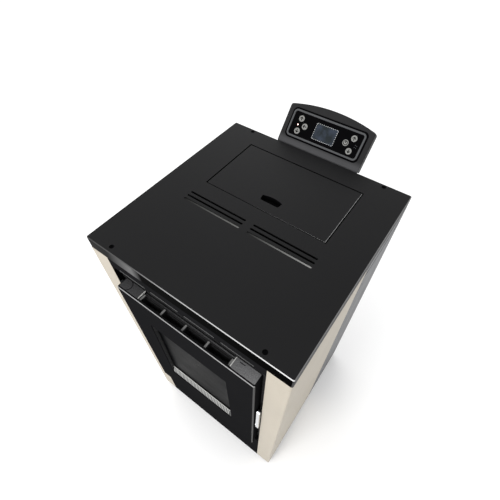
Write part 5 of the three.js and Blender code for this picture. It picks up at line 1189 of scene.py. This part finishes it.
class STOVE_OT_panel_housing(bpy.types.Operator):
    """Arched ABS housing with a groove round the raised ring of its fascia"""
    bl_idname = "stove.panel_housing"
    bl_label = "Panel Housing"

    def shell(self):
        """The housing, arched on top, with the groove, the island inside it and the fascia's hollow."""
        shell = block("panel_housing_moulded", (-PANEL_HALF, 0.5, -22), (PANEL_HALF, PANEL_TOP + 1, 0))
        radius = (PANEL_HALF ** 2 + PANEL_ARCH ** 2) / (2 * PANEL_ARCH)
        centre = PANEL_TOP - radius
        carve(shell, drum("tool", radius, (0, centre, -30), (0, centre, 10), 512), how="INTERSECT")
        merged(shell, 1.5)
        rounded(shell, 5, 2, 8, lambda e: start_of(e).y > 90 and abs(start_of(e).x) > 110)
        rounded(shell, 2, 2, 4, lambda e: start_of(e).y < 1)
        bevelled(shell, 2.2, 5, lambda e: level(e, 0), clamp_overlap=True)
        carve(shell, plate("tool", 102.2, -2.6, 2, 12))
        carve(shell, plate("island", 97.7, -3.4, -0.2, 9), how="UNION")
        return leaned(carve(shell, plate("tool", 92.3, -8, 3, 4)))

    def foot(self, y, z):
        """The foot that carries the housing behind the top, widening upwards, and the skirt beside it."""
        foot = block("foot", (-80, y, z - 50), (80, y + 14, z - 2))
        edit(foot)
        pick(foot, "faces", lambda f: facing(f, 2, 1))
        resized((1, 2, 1), (0, y, z - 2))
        pushed((0, 0, 5 * MM))
        resized((0.98, 0.4, 1), (0, y + 14, z + 3))
        close()
        rounded(foot, 3, 0, 4, lambda e: start_of(e).y > y + 5 and start_of(e).z < z - 40)
        piece(foot, "cabinet", "dark_abs", 0.8, 3, ()).name = "panel_foot_moulded"
        skirt = block("panel_skirt", (-113, y, z - 25), (113, y + 5.6, z - 0.4))
        piece(skirt, "cabinet", "dark_abs", 0.6)

    def execute(self, context):
        shell = self.shell()
        high = span("top_cover")[1]
        self.foot(high.y + 0.3, high.z)
        piece(shell, "cabinet", "dark_abs", 0.4, 2, ("panel_housing",), 50)
        # A near-black strip in the groove round the ring is painted shade.
        cord = plate("panel_groove_cord", 102, -2.7, -0.7, 12)
        leaned(carve(cord, plate("tool", 97.9, -4, 0, 9)))
        piece(cord, "cabinet", "groove", 0)
        ring = plate("panel_ring_raised", 98, 0.3, 2.7, 10, 10)
        leaned(carve(ring, plate("tool", 93.4, -2, 5, 5.4)))
        piece(ring, "cabinet", "grey_abs", 1.0, 4, ("panel_bezel",), 50)
        return {"FINISHED"}


class STOVE_OT_fascia(bpy.types.Operator):
    """Gloss black fascia, its display with a dashed light frame, and the indicator lights"""
    bl_idname = "stove.fascia"
    bl_label = "Fascia and Display"

    def dashes(self):
        """Short light marks round the display, modelled once for each side and repeated."""
        rows = []
        for axis, (count, start, end, lines) in enumerate((MARKS_ALONG_U, MARKS_ALONG_V)):
            pitch = (end - start) / count
            for line in lines:
                low, high = [start + pitch * 0.26, line - 0.4], [start + pitch * 0.74, line + 0.4]
                step = [pitch, 0]
                if axis:
                    for pair in (low, high, step):
                        pair.reverse()
                rows.append(repeated(block("dash", (*low, -0.12), (*high, 0.05)), count, (*step, 0)))
        return joined("display_frame_marks", *rows)

    def execute(self, context):
        fascia = plate("panel_fascia_gloss", 93.2, -3, 0, 5.2)
        carve(fascia, block("tool", (SCREEN_LOW[0] - 0.3, SCREEN_LOW[1] - 0.3, -5),
                            (SCREEN_HIGH[0] + 0.3, SCREEN_HIGH[1] + 0.3, 2)))
        for u, v in KEY_PLACES:
            carve(fascia, drum("tool", KEY_HOLE_RADIUS, (u, v, -5), (u, v, 2), 48))
        piece(leaned(fascia), "cabinet", "gloss_black", 0.25, 2, ("panel_fascia",), 50)
        screen = block("panel_screen_window", (*SCREEN_LOW, -7.7), (*SCREEN_HIGH, -0.3))
        piece(leaned(screen), "cabinet", "lcd_glass", 0.3, 2, ("panel_screen",))
        halo = [(2.0, -0.6), (2.0, 0.02), (1.8, 0.06)]
        dome = [(1.3, -0.6), (1.3, 0.3), (0.9, 0.6), (0.45, 0.75)]
        dot = turned("indicator", [(0.9, -0.6), (0.9, 0.2), (0.6, 0.45)], (0, 0, 0), 2, 24)
        for made, material in (
            (self.dashes(), "white_print"),
            (turned("indicator_halo", halo, LIT_PLACE, 2, 32), "halo"),
            (turned("indicator_lit", dome, LIT_PLACE, 2, 32), "lit"),
            *((twin(dot, f"indicator_unlit_{i + 1}", (u, v, 0)), "unlit")
              for i, (u, v) in enumerate(UNLIT_PLACES)),
        ):
            piece(leaned(made), "cabinet", material, 0)
        bpy.data.objects.remove(dot)
        return {"FINISHED"}


class STOVE_OT_panel_buttons(bpy.types.Operator):
    """Six round keys with light printed faces and generic dark signs"""
    bl_idname = "stove.panel_buttons"
    bl_label = "Panel Buttons"

    def bar(self, u, v, length, width, turn):
        """One stroke of a sign."""
        stroke = block("stroke", (-length / 2, -width / 2, 0.5), (length / 2, width / 2, 0.68))
        turned_by = Matrix.Rotation(math.radians(turn), 4, "Z") @ Matrix.Translation(-FRONT)
        return applied(stroke, Matrix.Translation(FRONT + Vector((u, v, 0)) * MM) @ turned_by)

    def arrow(self, u, v, way):
        """A chevron over a short stem, pointing up or down."""
        return [self.bar(u - 2.0, v + way * 1.6, 6.6, 1.9, way * 45),
                self.bar(u + 2.0, v + way * 1.6, 6.6, 1.9, -way * 45),
                self.bar(u, v - way * 1.4, 2.0, 6.8, 0)]

    def ring(self, u, v, radius, width):
        """A flat ring."""
        made = drum("ring", radius, (u, v, 0.5), (u, v, 0.68), 48)
        return carve(made, drum("tool", radius - width, (u, v, 0), (u, v, 1.5), 48))

    def sign(self, index, u, v):
        """The generic sign on one key: an arrow to the left, a power ring, or an arrow up or down."""
        if index == 1:
            return [self.bar(u + 0.6, v, 8.6, 1.9, 0), self.bar(u - 2.6, v + 1.8, 5.4, 1.8, 45),
                    self.bar(u - 2.6, v - 1.8, 5.4, 1.8, -45)]
        if index == 4:
            return [self.ring(u, v, 5.6, 1.6), self.bar(u, v + 2.6, 1.9, 5.6, 0)]
        return self.arrow(u, v, 1 if index in (0, 3) else -1)

    def execute(self, context):
        radius = size("key_radius")
        profile = [(radius, -3.4), (radius, 0.2), (radius - 0.4, 0.5), (radius - 1.2, 0.6)]
        cap = turned("cap", profile, (0, 0, 0), 2, 56)
        for i, (u, v) in enumerate(KEY_PLACES):
            key = leaned(twin(cap, f"panel_key_{i + 1}", (u, v, 0)))
            piece(key, f"button_{i + 1}", "key_print", 0, 0, (f"panel_button_{i + 1}",))
            mark = leaned(joined(f"key_sign_{i + 1}", *self.sign(i, u, v)))
            piece(mark, f"button_{i + 1}", "gloss_black", 0)
        bpy.data.objects.remove(cap)
        return {"FINISHED"}


# ---------- Inside and back ----------

def refine_all(*rows):
    """Refines nodes, each on its own body, from rows of material, slot, edge width and nodes. The slot is not
    used.
    """
    for material, slot, width, *nodes in rows:
        for node in nodes:
            refined(node, body_of(node), material, width)


class STOVE_OT_fire(bpy.types.Operator):
    """Firebox, ribbed fire back, vermiculite baffle, burn pot and ash pan"""
    bl_idname = "stove.fire"
    bl_label = "Fire"

    def execute(self, context):
        refine_all(
            ("sooty_iron", "black_iron", 0.6, "firebox"), ("sooty_iron", "black_iron", 1.0, "fire_back"),
            ("sooty_iron", "black_iron", 0.6, "burn_pot"), ("refractory", "refractory", 1.5, "baffle"),
            ("zinc_sheet", "zinc_sheet", 0.4, "ash_pan"),
        )
        return {"FINISHED"}


class STOVE_OT_feed(bpy.types.Operator):
    """Hopper, auger, gear motor, chute and the hinge pins"""
    bl_idname = "stove.feed"
    bl_label = "Feed"

    def execute(self, context):
        refine_all(
            ("zinc_sheet", "zinc_sheet", 0.4, "hopper", "chassis_left", "chassis_right"),
            ("steel_y", "bare_steel", 0.4, "auger_tube"), ("steel_y", "bare_steel", 0.3, "auger_screw"),
            ("steel_y", "bare_steel", 1.2, "auger_gearmotor"), ("steel_y", "bare_steel", 0.3, "drop_chute"),
            ("steel_x", "bare_steel", 0.3, "lid_hinge_pin"),
            ("steel_z", "bare_steel", 0.4, "door_hinge_pin_upper", "door_hinge_pin_lower"),
        )
        return {"FINISHED"}


class STOVE_OT_air(bpy.types.Operator):
    """Flue spigot with its rolled bead, air spigot, exhaust fan and room fan"""
    bl_idname = "stove.air"
    bl_label = "Air and Smoke"

    def execute(self, context):
        front, end = (corner.y for corner in span("flue_outlet"))
        bead = [(40, front), (40, end - 16.5), (41.2, end - 15.6), (42, end - 14.4), (42, end - 12.6),
                (41.2, end - 11.6), (40, end - 10.8), (40, end)]
        plain = [(25, corner.y) for corner in span("air_inlet")]
        for name, node, profile, sides in (("flue_spigot", "flue_outlet", bead, 96),
                                           ("air_spigot", "air_inlet", plain, 72)):
            place = middle(node)
            spigot = tube(name, profile, (place.x, 0, place.z), 1, sides, 2)
            piece(spigot, "cabinet", "steel_x", 0.3, 2, (node,), 60)
        refine_all(
            ("steel_z", "bare_steel", 0.4, "exhaust_fan_housing", "exhaust_impeller"),
            ("steel_x", "bare_steel", 0.4, "exhaust_fan_motor", "room_fan_rotor"),
            ("zinc_sheet", "zinc_sheet", 0.4, "room_fan_housing"),
        )
        return {"FINISHED"}


class STOVE_OT_electrics(bpy.types.Operator):
    """Control box, mains inlet and its rocker switch"""
    bl_idname = "stove.electrics"
    bl_label = "Electrics"

    def execute(self, context):
        refined("control_box", "cabinet", "grey_abs", 1.5, 3)
        refined("power_inlet", "cabinet", "moulded_black", 0.5)
        refined("power_switch", "switch", "moulded_black", 0.5)
        return {"FINISHED"}


# ---------- Stage ----------

SKY_DIRECTION = (0.35, 0.3, -0.887)
EYE = (293.4, -180.8)  # the camera's place over the drawing
LENS = 25.42


class STOVE_OT_stage(bpy.types.Operator):
    """White paper floor, soft studio light and the camera above the front right corner"""
    bl_idname = "stove.stage"
    bl_label = "Stage"

    def lamp(self, name, kind, power, place, direction, **settings):
        """A light of a kind that looks in a direction."""
        bpy.ops.object.light_add(type=kind, location=place)
        made = bpy.context.object
        made.name = name
        made.data.energy = power
        for setting, value in settings.items():
            setattr(made.data, setting, value)
        made.rotation_euler = direction.to_track_quat("-Z", "Y").to_euler()

    def soft_box(self, name, power, place, target, size):
        """A square soft box that looks at a point."""
        self.lamp(name, "AREA", power, place, Vector(target) - Vector(place), shape="SQUARE", size=size)

    def camera(self):
        """The camera, solved from the photograph's perspective."""
        forward = Vector((-0.3564, 0.4979, -0.7906)).normalized()
        right = forward.cross(Vector((-0.4645, 0.6397, 0.6123))).normalized()
        turn = Matrix((right, right.cross(forward), -forward)).transposed().to_4x4()
        bpy.ops.object.camera_add()
        camera = bpy.context.object
        camera.name = "photo_camera"
        camera.matrix_world = Matrix.Translation(at(*EYE, size("camera_height"))) @ turn
        camera.data.sensor_fit = "HORIZONTAL"
        camera.data.sensor_width = 36
        camera.data.lens = LENS
        camera.data.clip_start = 0.01
        return camera

    def execute(self, context):
        bpy.ops.mesh.primitive_plane_add(size=40, location=(0, 0, 0))
        floor = settle("paper_floor")
        coated(floor, "paper")
        world = bpy.data.worlds.new("studio_air")
        world.use_nodes = True
        background = world.node_tree.nodes["Background"].inputs
        background["Color"].default_value = (1, 1, 1, 1)
        background["Strength"].default_value = 0.95
        context.scene.world = world
        context.scene.view_settings.view_transform = "Standard"
        # An even soft light from high up, a little from the left, over the whole floor.
        self.lamp("soft_light_left", "SUN", 0.7, (-1.2, -1.0, 3.0), Vector(SKY_DIRECTION),
                  angle=math.radians(70))
        # A soft box ahead of the stove lights the front, and its reflection adds to the highlight painted
        # along the folded front edges.
        self.soft_box("soft_box_front", 35, (-0.5, -2.6, 1.75), (0, -0.2, 0.85), 1.1)
        # One behind the stove lies in the mirror direction of the top for the camera, and gives it its sheen.
        self.soft_box("soft_box_back", 12, (-1.4, 2.3, 3.0), (0, 0.3, 0.93), 1.6)
        context.scene.camera = self.camera()
        return {"FINISHED"}


# ---------- Panel and registration ----------

OPERATORS = (
    STOVE_OT_stage, STOVE_OT_top_cover, STOVE_OT_hopper_lid, STOVE_OT_top_screws, STOVE_OT_painted_sides,
    STOVE_OT_rear_casing, STOVE_OT_fronts, STOVE_OT_feet, STOVE_OT_door_skin, STOVE_OT_door_top,
    STOVE_OT_window, STOVE_OT_door_handle, STOVE_OT_panel_housing, STOVE_OT_fascia, STOVE_OT_panel_buttons,
    STOVE_OT_fire, STOVE_OT_feed, STOVE_OT_air, STOVE_OT_electrics,
)


class STOVE_PT_panel(bpy.types.Panel):
    """Lists the sizes, the colours and one button for each piece"""
    bl_idname = "STOVE_PT_panel"
    bl_label = "Pellet Stove"
    bl_space_type = "VIEW_3D"
    bl_region_type = "UI"
    bl_category = "Stove"

    def draw(self, context):
        for group in (context.scene.stove_sizes, context.scene.stove_colours):
            box = self.layout.box()
            for name in group.__annotations__:
                box.prop(group, name)
        for operator in OPERATORS:
            self.layout.operator(operator.bl_idname)


CLASSES = (STOVE_PG_sizes, STOVE_PG_colours, *OPERATORS, STOVE_PT_panel)


def register():
    for made in CLASSES:
        bpy.utils.register_class(made)
    bpy.types.Scene.stove_sizes = bpy.props.PointerProperty(type=STOVE_PG_sizes)
    bpy.types.Scene.stove_colours = bpy.props.PointerProperty(type=STOVE_PG_colours)


def unregister():
    del bpy.types.Scene.stove_sizes
    del bpy.types.Scene.stove_colours
    for made in reversed(CLASSES):
        bpy.utils.unregister_class(made)


def main():
    register()
    make_materials(bpy.context.scene.stove_colours)
    for operator in OPERATORS:
        group, name = operator.bl_idname.split(".")
        if getattr(getattr(bpy.ops, group), name)() != {"FINISHED"}:
            raise RuntimeError(f"{operator.bl_label} was not finished")


if __name__ == "__main__":
    main()
